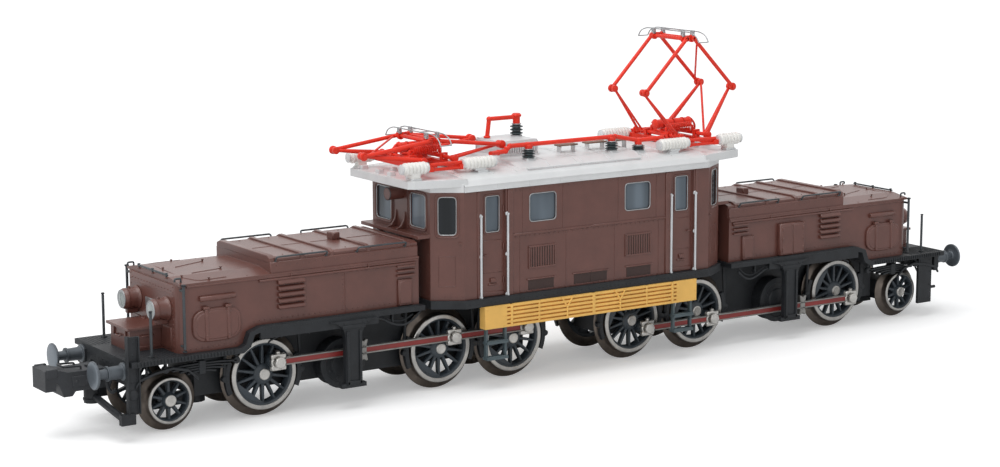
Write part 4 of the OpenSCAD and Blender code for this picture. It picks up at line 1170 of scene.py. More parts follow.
def roof_rails(end, turn, sizes):
    """Handrails on the eaves of the raised roof, the front roof's rail and its corner hooks."""
    shape = Shape(0.03)
    wire = sizes.wire / MM * 0.85
    for _ in each(shape, (turn,)):
        for x in ((35.2, 41.7), (24.8, 31.2)):
            low, high = (RAISED_Y, RAISED_EAVES_Z - 0.4), (RAISED_Y + 0.45, RAISED_EAVES_Z + 0.3)
            shape.wire([(x[0], *low), (x[0], *high), (x[1], *high), (x[1], *low)], wire, 0.25)
            for at in x:
                shape.turned([(0, 0.24), (0.07, 0.24), (0.14, 0.16)], (at, *low), OUT, 12)
        x, y = HOOD_END - 0.2, 6.0
        shape.wire([(x - 0.5, y, low_roof(y) - 0.05), (x - 0.5, y, low_roof(y) + 0.42),
                    (x + 0.25, y, low_roof(y) + 0.42), (x + 0.25, y, low_roof(y) + 0.1)], wire,
                   0.2)
    shape.placed = turn
    bar = low_roof(0) + 0.15
    shape.bar(*ends(x, (-3.8, 3.8), bar), wire)
    for y in (-3.5, 0, 3.5):
        shape.bar(*ends(x, y, (low_roof(y) - 0.25, bar + 0.06)), wire)
        shape.knob((x, y, bar), UP, 0.19, 0.24)
    shape.piece(f"roof_rails_{end}", f"truck_{end}", "rail_grey", "wire")


def hood_side(shape, sizes, door):
    """One side wall, facing +Y. The wide door stands on one side of the hood only."""
    y, rivet = HOOD_Y, sizes.rivet / MM
    shape.finish = 0
    shape.plate(oval(49.25, 11.8, 2.95, 1.87), (y - 0.1, y + 0.32), edge=0.1)
    shape.plate(oval(49.25, 11.8, 2.6, 1.55), (y, y + 0.4))
    for x in (47.9, 50.6):
        shape.block(about(x, 0.2), (y, y + 0.54), (10.1, 13.6))
        shape.bar(*ends(about(x, 0.35), y + 0.3, 13.75), 0.2)
        for z in (10.7, 12.9):
            shape.rivet((x, y + 0.53, z), OUT, rivet)
    shape.bar(*ends((46.9, 51.3), y + 0.14, 14.8), 0.31)
    # Louvre with thick rounded slats
    for i in range(5):
        low = 12.55 + i * 0.7
        shape.plate([(y - 0.05, low + 0.56), (y + 0.18, low + 0.53), (y + 0.42, low + 0.34),
                     (y + 0.48, low + 0.12), (y + 0.34, low), (y - 0.05, low)], (38.2, 41.6), "yz",
                    0.08)
    # Bands, rivets and joints
    shape.block((HOOD_START + 0.1, HOOD_END - 1.0), (y - 0.1, y + 0.13), (16.15, 16.42))
    shape.bar(*ends((23.6, 43.9), y + 0.1, 15.98), 0.15)
    shape.rivets(*ends((24.2, 44.6), y, 11.55), 30, OUT, rivet)
    shape.rivets(*ends((46.9, 52.4), y, 9.35), 9, OUT, rivet)
    shape.rivets(*ends((36.2, 27.4), y, 15.8), 12, OUT, rivet * 0.8)
    for at in (29.9, 39.9):
        shape.wire([(at, y, 15.95), (at, y + 0.2, 16.0), (at, y + 0.2, 16.4), (at, y, 16.45)],
                   0.07, 0.1)
    if door:
        shape.block((31.1, 35.3), (y - 0.1, y + 0.62), (11.05, 15.25), 0.16)
        for leaf in ((31.35, 33.14), (33.26, 35.05)):
            shape.block(leaf, (y + 0.5, y + 0.72), (11.3, 15.0))
        for at in (31.5, 34.9):
            for level in (11.9, 13.2, 14.5):
                shape.bar(*ends(at, y + 0.72, about(level, 0.25)), 0.1)
    else:
        shape.wire(ends(32.9, y, (11.2, 16.1)), sizes.seam / MM * 1.5)
        shape.rivets(*ends(33.2, y, (11.9, 15.5)), 8, OUT, rivet * 0.8)
    near = 25.15 if door else 24.1
    shape.block((near, near + 1.9), (y - 0.1, y + 0.3), (11.1, 14.2), 0.1)
    shape.block((near + 0.2, near + 1.7), (y + 0.2, y + 0.38), (11.35, 13.95))
    for i in range(3):
        low = 14.5 + i * 0.55
        shape.plate([(y - 0.05, low + 0.34), (y + 0.3, low + 0.2), (y + 0.36, low + 0.05),
                     (y - 0.05, low)], (23.7, 26.1), "yz", 0.04)


def hood_nose(shape, sizes):
    """The hood's front wall: lamp rims and glasses, plate, rivets and toolbox fittings."""
    x, rivet = HOOD_END, sizes.rivet / MM
    shape.finish = 0
    for side in SIDES:
        shape.rivets(*ends(x, side * 5.35, (9.6, 16.2)), 12, ALONG, rivet)
        shape.block((x, x + 1.4), about(side * LAMP_Y, 0.3), (11.9, 12.45))
        shape.block((x - 0.1, x + 0.14), about(side * LAMP_Y, 1.2), (9.2, 11.6))
    shape.rivets(*ends(x, (-4.9, 4.9), 15.75), 14, ALONG, rivet)
    shape.wire(ends(x, (-5.2, 5.2), 15.35), sizes.seam / MM)
    lid = DECK_Z + 2.4
    for y in (-1.5, 1.5):
        shape.block((x + 3.85, x + 4.1), about(y, 0.2), (lid - 1.0, lid + 0.1))
        shape.bar(*ends(x + 0.35, about(y, 0.4), lid + 0.32), 0.12)
    shape.wire([(x + 3.9, -0.5, lid - 0.8), (x + 4.25, -0.5, lid - 0.9),
                (x + 4.25, 0.5, lid - 0.9), (x + 3.9, 0.5, lid - 0.8)], 0.08, 0.12)
    for y in (-2.5, 2.5):
        way = math.copysign(1, y)
        shape.wire([(x + 1.2, y, lid - 0.7), (x + 1.2, y + way * 0.3, lid - 0.75),
                    (x + 2.6, y + way * 0.3, lid - 0.75), (x + 2.6, y, lid - 0.7)], 0.08, 0.12)
        shape.block((x + 0.3, x + 3.6), (y - 0.05 * way, y + 0.08 * way),
                    (DECK_Z + 0.2, DECK_Z + 0.5))
    shape.finish = 1
    for side in SIDES:
        shape.turned([(0, 0.92), (0.02, 1.06), (0.1, 1.06), (0.12, 1.0), (0.06, 0.92)],
                     (x + 1.88, side * LAMP_Y, LAMP_Z), ALONG, 32)
    shape.block((x - 0.05, x + 0.12), (-1.5, 1.5), (13.1, 14.05))
    shape.finish = 2
    for side in SIDES:
        shape.turned([(0, 0.93), (0.06, 0.9), (0.13, 0.64), (0.16, 0.3), (0.17, 0)],
                     (x + 1.85, side * LAMP_Y, LAMP_Z), ALONG, 28)
    shape.finish = 0


def lamp_barrels(end, turn):
    """Headlamp housings, rounded at the rim and flared at the foot."""
    shape = Shape(0.05)
    shape.placed = turn
    for side in SIDES:
        shape.turned([(-0.1, 1.3), (0.1, 1.36), (0.22, 1.26), (0.5, 1.17), (1.3, 1.14),
                      (1.36, 1.19), (1.62, 1.19), (1.7, 1.14), (1.9, 1.08), (1.95, 0.96),
                      (1.85, 0.9), (1.85, 0)], (HOOD_END, side * LAMP_Y, LAMP_Z), ALONG, 40)
        shape.bar(*ends(HOOD_END + 1.0, side * LAMP_Y, (14.6, 14.95)), 0.16)
    shape.piece(f"headlamp_barrels_{end}", f"truck_{end}", "body_brown", "body",
                stands_for=(f"headlamps_{end}",))


def hoods(sizes):
    """Everything that is fixed to the two hoods."""
    for end, turn in ENDS.items():
        shape = Shape(sizes.edge / MM)
        shape.placed = turn
        roof_ribs(shape, sizes)
        front_roof(shape, sizes)
        hood_nose(shape, sizes)
        hood_side(shape, sizes, False)
        shape.placed = turn @ LEFT
        hood_side(shape, sizes, True)
        shape.piece(f"hood_fittings_{end}", f"truck_{end}", "body_brown", "body", "rim",
                    "lamp_glass")
        roof_rails(end, turn, sizes)
        lamp_barrels(end, turn)


# ---------------------------------------------------------------- decks and truck sides

DECK_END = 59.87
BOARD_Y = 7.6
BUFFER_Y, BUFFER_Z = 5.47, 7.6
COLUMN_X, COLUMN_Y = 32.55, 7.9
DRIVER_X, DRIVER_Z, DRIVER_R = (42.65, 19.21, 8.91), 4.95, 4.1
SHOE_R = 4.85
CARRIER_X = 51.2


def deck_fittings(shape, sizes):
    """Pole ends, rail feet, slats, treads and rivets of the decks and boards."""
    rivet = sizes.rivet / MM
    for side in SIDES:
        pole = (HOOD_END + 3.1, side * 6.2)
        shape.knob((*pole, DECK_Z + 4.75), UP, 0.22, 0.42)
        shape.turned([(0, 0.36), (0.14, 0.36), (0.22, 0.2)], (*pole, DECK_Z), UP, 14)
        x, y = HOOD_END - 0.4, HOOD_Y + 0.6
        for z in (DECK_Z + 0.5, HOOD_SIDE_Z + 0.1):
            shape.turned([(0, 0.17), (0.06, 0.26), (0.2, 0.26), (0.26, 0)], (x, side * y, z),
                         (0, 0, 1 if z > 12 else -1), 12)
        edge = side * (BOARD_Y - 0.02)
        shape.rivets(*ends((24, 43.6), edge, 10.7), 28, (0, side, 0), rivet)
        for i in range(30):
            at = 47.4 + i * 0.4
            shape.block((at, at + 0.2), (side * BOARD_Y - 0.12, side * BOARD_Y + 0.1),
                        (8.36, 8.86), 0.03)
        for x in (27.0, 38.0, 41.5):
            shape.plate([(x - 0.1, 10.4), (x + 0.1, 10.4), (x + 0.1, 9.4), (x - 0.1, 9.4)],
                        about(side * 7.0, 0.3))
        # Tread strips on the boards
        for k in range(5):
            at = side * (HOOD_Y + 0.18 + k * 0.17)
            shape.block((23.4, 44.0), about(at, 0.03), (BOARD_Z - 0.02, BOARD_Z + 0.05), 0.01)
    for k in range(14):
        at = 54.2 + k * 0.42
        for side in SIDES:
            shape.block((at, at + 0.08), outward(side, 3.1, 7.3), (DECK_Z - 0.02, DECK_Z + 0.05),
                        0.01)


def column_fittings(shape, side):
    """Ribs, bands and rivets of the guide column."""
    rib = outward(side, COLUMN_Y - 0.1, COLUMN_Y + 0.2)
    for dx in (-0.82, 0.82):
        shape.block(about(COLUMN_X + dx, 0.16), rib, (2.9, 9.2))
        for z in (3.4, 4.9, 6.4, 7.9, 9.0):
            shape.rivet((COLUMN_X + dx, side * (COLUMN_Y + 0.19), z), (0, side, 0), 0.08)
    shape.block(about(COLUMN_X, 0.95), rib, (3.0, 3.4))
    shape.block(about(COLUMN_X, 1.5), outward(side, COLUMN_Y - 0.1, COLUMN_Y + 0.12), (9.5, 9.9))
    for dx in (-1.9, -1.2, 1.2, 1.9):
        shape.rivet((COLUMN_X + dx, side * COLUMN_Y, 10.1), (0, side, 0), 0.1)


def side_pipes(shape, door_side):
    """Air pipes under the boards; they differ on the two sides."""
    if door_side:
        line = [(24.2, 9.8), (25.2, 8.9), (26.2, 8.6), (27.5, 9.0), (28.8, 9.8), (30.4, 9.6),
                (31.9, 8.7)]
    else:
        line = [(30.2, 10.3), (28.6, 10.1), (26.8, 9.1), (25.3, 8.9), (23.9, 9.6), (23.1, 10.6)]
    shape.wire([(x, 7.25, z) for x, z in line], 0.13, 0.8)
    shape.wire([(x + 0.25, 7.0, z + 0.42) for x, z in line[:-1]], 0.1, 0.8)
    shape.wire([(36.2, 7.2, 10.4), (36.2, 7.2, 9.7), (41.6, 7.2, 9.7), (43.0, 7.2, 9.2),
                (43.0, 6.9, 8.9)], 0.11, 0.5)


def brakes(shape):
    """Brake shoes and hangers just outside the treads, facing +Y."""
    across = (4.5, 5.05)
    arc = [math.radians(a) for a in range(-24, 25, 8)]
    for x in DRIVER_X:
        for way in (-1, 1):
            outer, inner = ([(x + way * r * math.cos(a), DRIVER_Z + r * math.sin(a)) for a in arc]
                            for r in (SHOE_R, 4.28))
            shape.plate(outer + inner[::-1], across)
            hub = x + way * SHOE_R
            shape.turned([(0, 0.3), (0.06, 0.36), (0.62, 0.36), (0.7, 0.2)],
                         (hub, across[0] - 0.05, DRIVER_Z), OUT, 14)
            shape.bar((hub, 4.78, DRIVER_Z), (x + way * 4.55, 4.78, 10.4), 0.2)


def carrier_gear(shape):
    """Leaf springs, wheel guards and hangers over the carrying wheels, facing +Y."""
    y = 6.6
    for k, half in enumerate((4.3, 3.5, 2.6, 1.7)):
        z = 8.0 - k * 0.27
        bow = ((-1, 0.0), (-0.5, 0.16), (0, 0.22), (0.5, 0.16), (1, 0.0))
        top = [(CARRIER_X + share * half, z - 0.45 + rise) for share, rise in bow]
        shape.plate(top + [(x, v - 0.2) for x, v in top[::-1]], about(y, 0.3), "xz", 0.03)
    shape.block(about(CARRIER_X, 0.4), about(y, 0.42), (6.5, 8.0))
    for x in (46.9, 55.5):
        shape.bar(*ends(x, y, (7.4, 8.4)), 0.2)
        shape.turned([(0, 0.36), (0.1, 0.42), (0.5, 0.42), (0.6, 0.36)], (x, y - 0.3, 7.45), OUT,
                     14)
    arch = [(59.3, 6.2), (58.7, 6.9), (56.9, 7.45), (54.9, 7.75), (53.0, 7.3), (51.8, 6.2)]
    shape.plate(arch + [(x, z - 0.28) for x, z in arch[::-1]], (6.9, 7.25), "xz", 0.03)


def beam_fittings(shape, sizes):
    """Plates, bolts, hoses and chains on the buffer beam."""
    x = DECK_END
    for side in SIDES:
        shape.block((x - 0.1, x + 0.2), outward(side, 4.45, 6.45), (6.45, 8.28))
        for dy in (-0.75, 0.75):
            for z in (6.75, 8.0):
                shape.rivet((x + 0.2, side * (BUFFER_Y + dy), z), ALONG, 0.11)
        shape.wire([(x, side * 3.2, 7.0), (x + 0.9, side * 3.2, 6.9), (x + 1.1, side * 3.3, 5.8),
                    (x + 0.7, side * 3.6, 4.9), (x + 0.3, side * 3.9, 5.3)], 0.2, 0.6)
        shape.turned([(0, 0.2), (0.05, 0.3), (0.3, 0.3), (0.36, 0.2)], (x, side * 3.2, 7.0), ALONG,
                     12)
        shape.wire([(x + 0.1, side * 2.6, 6.4), (x + 0.5, side * 2.5, 5.2),
                    (x + 0.5, side * 2.2, 4.9), (x + 0.1, side * 1.95, 5.9)], 0.12, 0.5)
    shape.rivets(*ends(x, (-4.1, 4.1), 7.9), 9, ALONG, sizes.rivet / MM)
    for y in (-6.3, -2.1, 2.1, 6.3):
        shape.wire([(x - 2.2, y, 8.3), (x - 2.3, y, 7.1), (x - 1.7, y, 6.7), (x - 1.3, y, 7.3)],
                   0.15, 0.4)


def trucks(sizes):
    """Everything that is fixed to the two truck frames."""
    for end, turn in ENDS.items():
        shape = Shape(0.05)
        shape.placed = turn
        deck_fittings(shape, sizes)
        beam_fittings(shape, sizes)
        for side in SIDES:
            column_fittings(shape, side)
            face = side * 5.2
            shape.turned([(-0.3, 2.85), (-0.05, 2.95), (0.1, 2.9), (0.16, 2.3), (0.06, 2.2),
                          (0.06, 1.5), (0.2, 1.4), (0.34, 0.8), (0.36, 0)],
                         (COLUMN_X, face, DRIVER_Z), (0, side, 0), 40)
            for k in range(8):
                a = math.radians(45 * k + 22)
                shape.rivet((COLUMN_X + 1.85 * math.cos(a), face + side * 0.06,
                             DRIVER_Z + 1.85 * math.sin(a)), (0, side, 0), 0.14)
        for door_side, half in ((False, RIGHT), (True, LEFT)):
            shape.placed = turn @ half
            side_pipes(shape, door_side)
            brakes(shape)
            carrier_gear(shape)
        shape.piece(f"truck_fittings_{end}", f"truck_{end}", "frame_grey", "frame")


# ---------------------------------------------------------------- wheels and rods

WHEEL_BACK, CARRIER_R = 3.7, 2.65


def turned_about(x, z, angle, along, across):
    """The point at two distances, along and across a direction from a centre."""
    c, s = math.cos(angle), math.sin(angle)
    return x + along * c - across * s, z + along * s + across * c


def wheel(shape, x, z, radius, spokes, side, pin):
    """One spoked wheel. The pin, if there is one, is the place of its crank pin."""
    start, out = (x, side * WHEEL_BACK, z), (0, side, 0)
    shape.finish = 0
    shape.turned([(1.36, radius * 0.875), (1.36, radius - 0.02), (1.44, radius - 0.03),
                  (1.5, radius - 0.1), (1.5, radius * 0.875)], start, out, 72, True)
    # Flange and rolling face, in the darker finish painted as shade
    shape.finish = 3
    shape.turned([(0, radius * 0.9), (0, radius + 0.62), (0.1, radius + 0.8),
                  (0.22, radius + 0.85), (0.36, radius + 0.7), (0.5, radius + 0.14),
                  (0.66, radius + 0.01), (1.38, radius - 0.02), (1.4, radius * 0.9)], start, out,
                 72, True)
    shape.finish = 1
    shape.turned([(0.12, radius * 0.8), (0.12, radius * 0.9), (1.34, radius * 0.9),
                  (1.4, radius * 0.87), (1.34, radius * 0.83), (1.16, radius * 0.8)], start, out,
                 72, True)
    hub = 1.15 if pin else 0.85
    shape.turned([(0.15, hub), (0.25, hub + 0.12), (1.2, hub + 0.06), (1.42, hub * 0.86),
                  (1.5, 0.7)], start, out, 32)
    near, far = WHEEL_BACK + 0.45, WHEEL_BACK + 1.12
    for k in range(spokes):
        a = 2 * math.pi * (k + 0.5) / spokes
        outline = [turned_about(x, z, a, along, half) for along,
                   half in ((hub * 0.9, -0.2), (radius * 0.83, -0.13), (radius * 0.83, 0.13),
                            (hub * 0.9, 0.2))]
        shape.plate(outline, outward(side, near, far), "xz", 0.07)
    if pin:
        # Balance weight opposite the pin
        at = math.atan2(pin[1] - z, pin[0] - x) + math.pi
        arc = [at + math.radians(d) for d in range(-40, 41, 8)]
        outline = [(x + radius * 0.82 * math.cos(a), z + radius * 0.82 * math.sin(a)) for a in arc]
        shape.plate(outline, outward(side, near, far + 0.18), "xz", 0.08)
        shape.turned([(0.5, 0.75), (1.3, 0.85), (1.7, 0.8), (1.85, 0.66), (1.9, 0.34)],
                     (pin[0], side * WHEEL_BACK, pin[1]), out, 24)
    shape.finish = 2
    shape.turned([(1.3, 0.66), (1.6, 0.66), (1.66, 0.56), (1.62, 0.4), (1.62, 0)], start, out, 24)
    if pin:
        shape.turned([(1.6, 0.3), (2.9, 0.3)], (pin[0], side * WHEEL_BACK, pin[1]), out, 20)
        shape.turned([(2.85, 0.5), (2.92, 0.7), (3.18, 0.7), (3.27, 0.58), (3.27, 0.34),
                      (3.3, 0.3), (3.3, 0)], (pin[0], side * WHEEL_BACK, pin[1]), out, 8)


def wheelset(name, body, at, radius, spokes, pins):
    """Two wheels on an axle."""
    shape = Shape(0.05)
    for side in SIDES:
        wheel(shape, at.x, at.z, radius, spokes, side, pins.get(side))
    shape.finish = 2
    shape.turned([(0, 0.62), (0.6, 0.7), (1.2, 0.56), (5.4, 0.56), (6.0, 0.7), (6.6, 0.62)],
                 (at.x, -3.3, at.z), OUT, 28)
    shape.piece(f"{name}_turned", body, "wheel_steel", "tyre", "wheel", "nickel", "tread",
                stands_for=(name,))


def wheelsets(sizes):
    """The driving and carrying wheel pairs."""
    for end in ENDS:
        first = joint_point(f"drivers_{end}_1_spin")
        throw = {side: joint_point(f"rod_{end}_{name}_pin") - first for side,
                 name in ((-1, "left"), (1, "right"))}
        for i in (1, 2, 3):
            at = joint_point(f"drivers_{end}_{i}_spin")
            pins = {side: (at.x + t.x, at.z + t.z) for side, t in throw.items()}
            wheelset(f"driver_{end}_{i}", f"drivers_{end}_{i}", at, DRIVER_R, sizes.driver_spokes,
                     pins)
        wheelset(f"carrying_wheels_{end}", f"carriers_{end}", joint_point(f"carriers_{end}_spin"),
                 CARRIER_R, sizes.carrier_spokes, {})


def rod_block(shape, x, z, y):
    """Four bars round a crank pin, in the plane of the rods."""
    outer, inner, edge = 0.95, 0.37, 0.1
    for way in (-1, 1):
        shape.block(about(x, outer), y, sorted((z + way * inner, z + way * outer)), edge)
        shape.block(sorted((x + way * inner, x + way * outer)), y, about(z, inner), edge)


ROD_NEAR, ROD_FAR = 5.9, 6.45
# The guide wings of one end stand further from the guide block
WING_SHIFT = {"front": 0.9, "rear": 1.7}
WING = ((-0.42, 0.5), (-0.56, 1.22), (-0.34, 1.28), (0, 1.04), (0.34, 1.28), (0.56, 1.22),
        (0.42, 0.5))


def coupling_rods(sizes):
    """Fluted rods with crank pin blocks, guide block and guide wings."""
    for end in ENDS:
        way = WAY[end]
        first = joint_point(f"drivers_{end}_1_spin")
        for name, side in (("left", -1), ("right", 1)):
            pin = joint_point(f"rod_{end}_{name}_pin")
            shift, z = pin.x - first.x, pin.z
            y = outward(side, ROD_NEAR, ROD_FAR)
            web = outward(side, ROD_NEAR + 0.08, ROD_FAR - 0.13)
            blocks = [way * x + shift for x in DRIVER_X]
            guide = way * COLUMN_X + shift
            stops = sorted([(x, 0.9) for x in blocks] + [(guide, 0.4)])
            shape = Shape(0.05)
            for (a, reach_a), (b, reach_b) in zip(stops, stops[1:]):
                span = (a + reach_a, b - reach_b)
                shape.finish = 1
                shape.block(span, web, about(z, 0.36), 0.02)
                shape.finish = 2
                for level in (-0.36, 0.36):
                    shape.block(span, y, about(z + level, 0.075), 0.02)
            shape.finish = 0
            for x in blocks:
                rod_block(shape, x, z, y)
                shape.turned([(0, 0.2), (0.1, 0.28), (0.26, 0.28), (0.34, 0.18), (0.42, 0)],
                             (x, side * 6.17, z + 0.93), UP, 12)
            shape.block(about(guide, 0.5), y, about(z, 1.35), 0.08)
            guide += WING_SHIFT[end]
            shape.finish = 2
            shape.block(about(guide, 0.42), y, about(z, 0.65), 0.08)
            for rise in (-1, 1):
                shape.plate([(guide + u, z + rise * v) for u, v in WING], y, "xz", 0.05)
                shape.rivet((guide, side * (ROD_FAR - 0.01), z + rise * 0.45), (0, side, 0), 0.12)
            shape.piece(f"rod_{end}_{name}_fluted", f"rod_{end}_{name}", "rod_red", "nickel",
                        "rod_red", "rod_edge", stands_for=(f"rod_{end}_{name}",))


# ---------------------------------------------------------------- buffers and coupler


def buffers(sizes):
    """Stepped buffer barrels with round heads."""
    for end, turn in ENDS.items():
        shape = Shape(0.05)
        shape.placed = turn
        for side in SIDES:
            start = (DECK_END, side * BUFFER_Y, BUFFER_Z)
            shape.finish = 0
            shape.turned([(0, 1.0), (0.22, 1.0), (0.3, 0.86), (0.34, 0.76), (1.86, 0.72),
                          (1.9, 0.84), (2.1, 0.84), (2.14, 0.55), (3.2, 0.5), (3.34, 0.62),
                          (3.4, 0.9), (3.42, 0)], start, ALONG, 36)
            shape.turned([(3.38, 1.3), (3.4, 1.5), (3.46, 1.55), (3.62, 1.55), (3.66, 1.5),
                          (3.66, 0)], start, ALONG, 56)
            shape.finish = 1
            shape.turned([(3.64, 1.49), (3.68, 1.42), (3.71, 0.9), (3.73, 0)], start, ALONG, 56)
        shape.piece(f"buffers_{end}_stepped", f"truck_{end}", "buffer_grey", "buffer",
                    "buffer_face", stands_for=(f"buffers_{end}",))


def coupler_fittings(sizes):
    """Cheeks, bolts, bar and lifting bow of the hook coupler."""
    pin = joint_point("coupler_swing").x
    shape = Shape(0.06)
    for side in SIDES:
        y = outward(side, 1.7, 1.86)
        shape.block((pin - 3.0, pin + 0.4), y, (5.7, 6.9))
        for x in (pin - 2.5, pin - 1.2, pin):
            shape.rivet((x, side * 1.85, 6.3), (0, side, 0), 0.14)
        shape.block((pin - 5.9, pin - 4.6), outward(side, 1.35, 1.8), (6.9, 7.95))
    shape.bar(*ends(pin - 4.3, (-1.72, 1.72), 7.55), 0.16)
    shape.wire([(pin - 1.6, -0.9, 7.4), (pin - 1.6, -0.9, 7.75), (pin - 3.6, -0.9, 7.85),
                (pin - 3.6, 0.9, 7.85), (pin - 1.6, 0.9, 7.75), (pin - 1.6, 0.9, 7.4)], 0.12, 0.25)
    shape.piece("coupler_fittings", "coupler", "coupler_black", "coupler")


def guard_fittings(sizes):
    """Bolts on the rail guards and the coupler pin's head."""
    pin = joint_point("coupler_swing").x
    for end, turn in ENDS.items():
        shape = Shape(0.05)
        shape.placed = turn
        post, low = (3.1, DECK_Z + 2.75), 6.8
        shape.block((DECK_END - 1.1, DECK_END + 0.3), (low, low + 0.18), post)
        for at in (DECK_END - 1.12, DECK_END + 0.2):
            shape.block((at, at + 0.18), (low, low + 0.5), post)
        shape.turned([(0, 0.6), (0.1, 0.6), (0.2, 0.45)], (DECK_END - 0.4, low + 0.15, 5.2), OUT,
                     18)
        for z in (7.6, 9.6, 11.0):
            shape.rivet((DECK_END - 0.4, low + 0.17, z), OUT, 0.1)
        for z in (2.6, 4.4, 6.2, 7.8):
            for x in (DECK_END - 3.7, DECK_END - 2.0):
                shape.rivet((x, -7.0, z), (0, -1, 0), 0.1)
        for x in (DECK_END - 0.55, DECK_END - 0.2):
            shape.rivet((x, 7.0, 6.6), OUT, 0.1)
        if end == "front":
            shape.placed = Matrix.Identity(4)
            shape.turned([(0, 0.5), (0.04, 0.72), (0.2, 0.72), (0.3, 0.4), (0.32, 0)],
                         (pin, 0, 7.4), UP, 20)
            shape.turned([(0, 0.9), (0.1, 1.0), (0.3, 1.0), (0.36, 0.9)], (pin, 0, 3.5), UP, 24)
        shape.piece(f"guard_fittings_{end}", f"truck_{end}", "frame_grey", "frame")


# ---------------------------------------------------------------- stage


# Half the floor's side and its drop below the flanges, in metres
FLOOR_HALF, FLOOR_DROP = 4.0, 0.02 * MM
# Place in metres and heading, pitch and roll in degrees
CAMERA_AT, CAMERA_TURN = (-0.16228, -0.23223, 0.06563), (-33.713, -9.923, -0.087)
WORLD_TINT = (0.97, 0.985, 1.0, 1)


def studio_light(world, strength):
    """Light from all round, which the camera, reflections and glass see as plain white."""
    tree = Tree(world)
    for node in list(tree.nodes):
        if node.bl_idname == "ShaderNodeBackground":
            tree.nodes.remove(node)
    light = tree.add("Background", "Background", {"Color": WORLD_TINT, "Strength": strength})
    seen = tree.add("Background", "Background", {"Color": (1, 1, 1, 1)})
    camera, glossy, through = (tree.add("LightPath", f"Is {kind} Ray", {}) for kind
                               in ("Camera", "Glossy", "Transmission"))
    seen_by = tree.math("MAXIMUM", tree.math("MAXIMUM", camera, glossy), through)
    target = next(n for n in tree.nodes if n.bl_idname == "ShaderNodeOutputWorld")
    tree.feed(target.inputs, {"Surface": tree.add("MixShader", "Shader",
                                                  {"Fac": seen_by, 1: light, 2: seen})})


def floor_finish():
    """Pale paper that brightens to the background's white away from the part."""
    material = bpy.data.materials.new("floor_paper")
    tree = Tree(material)
    place = tree.place()
    away = tree.add("VectorMath", "Value", {0: place}, operation="LENGTH")
    glow = tree.math("MULTIPLY", tree.add("LightPath", "Is Camera Ray", {}),
                     tree.spread(away, 0.32, 0.62, 0.07, 0.40))
    tree.shade({"Base Color": tree.blend(tree.noise(place, 900.0, 2.0), (0.90, 0.90, 0.90),
                                         (0.93, 0.93, 0.93)), "Roughness": 0.9,
                "Specular IOR Level": 0.0, "Emission Color": (1, 1, 1, 1),
                "Emission Strength": glow})
    return material


def soft_box(name, place, target, size, power):
    light = bpy.data.lights.new(name, "AREA")
    light.shape = "RECTANGLE"
    light.size, light.size_y = size
    light.energy = power
    made = bpy.data.objects.new(name, light)
    made.location = place
    made.rotation_euler = (Vector(target) - Vector(place)).to_track_quat("-Z", "Y").to_euler()
    bpy.context.scene.collection.objects.link(made)


def build_stage(settings):
    scene = bpy.context.scene
    half = FLOOR_HALF
    mesh = bpy.data.meshes.new("floor")
    mesh.from_pydata([(-half, -half, 0), (half, -half, 0), (half, half, 0), (-half, half, 0)], [],
                     [(0, 1, 2, 3)])
    mesh.materials.append(floor_finish())
    floor = bpy.data.objects.new("floor", mesh)
    floor.location = (0, 0, -FLOOR_DROP)
    scene.collection.objects.link(floor)
    world = bpy.data.worlds.new("studio")
    scene.world = world
    studio_light(world, settings.surround)
    soft_box("top_box", (-0.13, -0.02, 0.36), (0, 0, 0.01), (0.34, 0.30), settings.top)
    soft_box("key_box", (-0.42, -0.36, 0.30), (-0.01, 0, 0.02), (0.22, 0.16), settings.key)
    camera = bpy.data.cameras.new("camera")
    camera.lens = settings.lens
    camera.sensor_width = 36.0
    camera.clip_start = 0.005
    made = bpy.data.objects.new("camera", camera)
    heading, pitch, roll = CAMERA_TURN
    made.matrix_world = (Matrix.Translation(CAMERA_AT)
                         @ Matrix.Rotation(math.radians(heading), 4, "Z")
                         @ Matrix.Rotation(math.radians(90 + pitch), 4, "X")
                         @ Matrix.Rotation(math.radians(roll), 4, "Z"))
    scene.collection.objects.link(made)
    scene.camera = made
    scene.view_settings.view_transform = "Standard"


# ---------------------------------------------------------------- operators


class LOCOMOTIVE_OT_finishes(bpy.types.Operator):
    """Makes the finishes and gives every frame part its own"""

    bl_idname = "locomotive.finishes"
    bl_label = "Finishes"
    bl_options = {"REGISTER", "UNDO"}

    def execute(self, context):
        make_finishes(context.scene.locomotive_colours)
        dress_nodes()
        return {"FINISHED"}


class PieceStep:
    """A step that runs its builders. Each takes the sizes, and uses those it needs."""

    bl_options = {"REGISTER", "UNDO"}
    builders = ()

    def execute(self, context):
        for build in self.builders:
            build(context.scene.locomotive_sizes)
        return {"FINISHED"}


class LOCOMOTIVE_OT_cab(PieceStep, bpy.types.Operator):
    """Adds the cab's rims, mouldings, panels and grilles"""

    bl_idname = "locomotive.cab"
    bl_label = "Cab"
    builders = (window_rims, window_frames, side_panels, grilles, nose_walls, sill)


class LOCOMOTIVE_OT_coolers(PieceStep, bpy.types.Operator):
    """Adds the coolers' brackets, the step treads and the handrail feet"""

    bl_idname = "locomotive.coolers"
    bl_label = "Coolers, steps and handrails"
    builders = (cooler_trim, step_trim, rail_feet)


class LOCOMOTIVE_OT_roof(PieceStep, bpy.types.Operator):
    """Adds the roof's seams, boards, insulators, resistor grid and clamps"""

    bl_idname = "locomotive.roof"
    bl_label = "Roof"
    builders = (roof_trim, walkway, white_insulators, post_insulators, resistor_grid, lead_clamps)


class LOCOMOTIVE_OT_pantographs(PieceStep, bpy.types.Operator):
    """Adds the pantographs' springs, tubes, hubs and collector heads"""

    bl_idname = "locomotive.pantographs"
    bl_label = "Pantographs"
    builders = (base_trim, lower_arms, upper_arms, collectors)


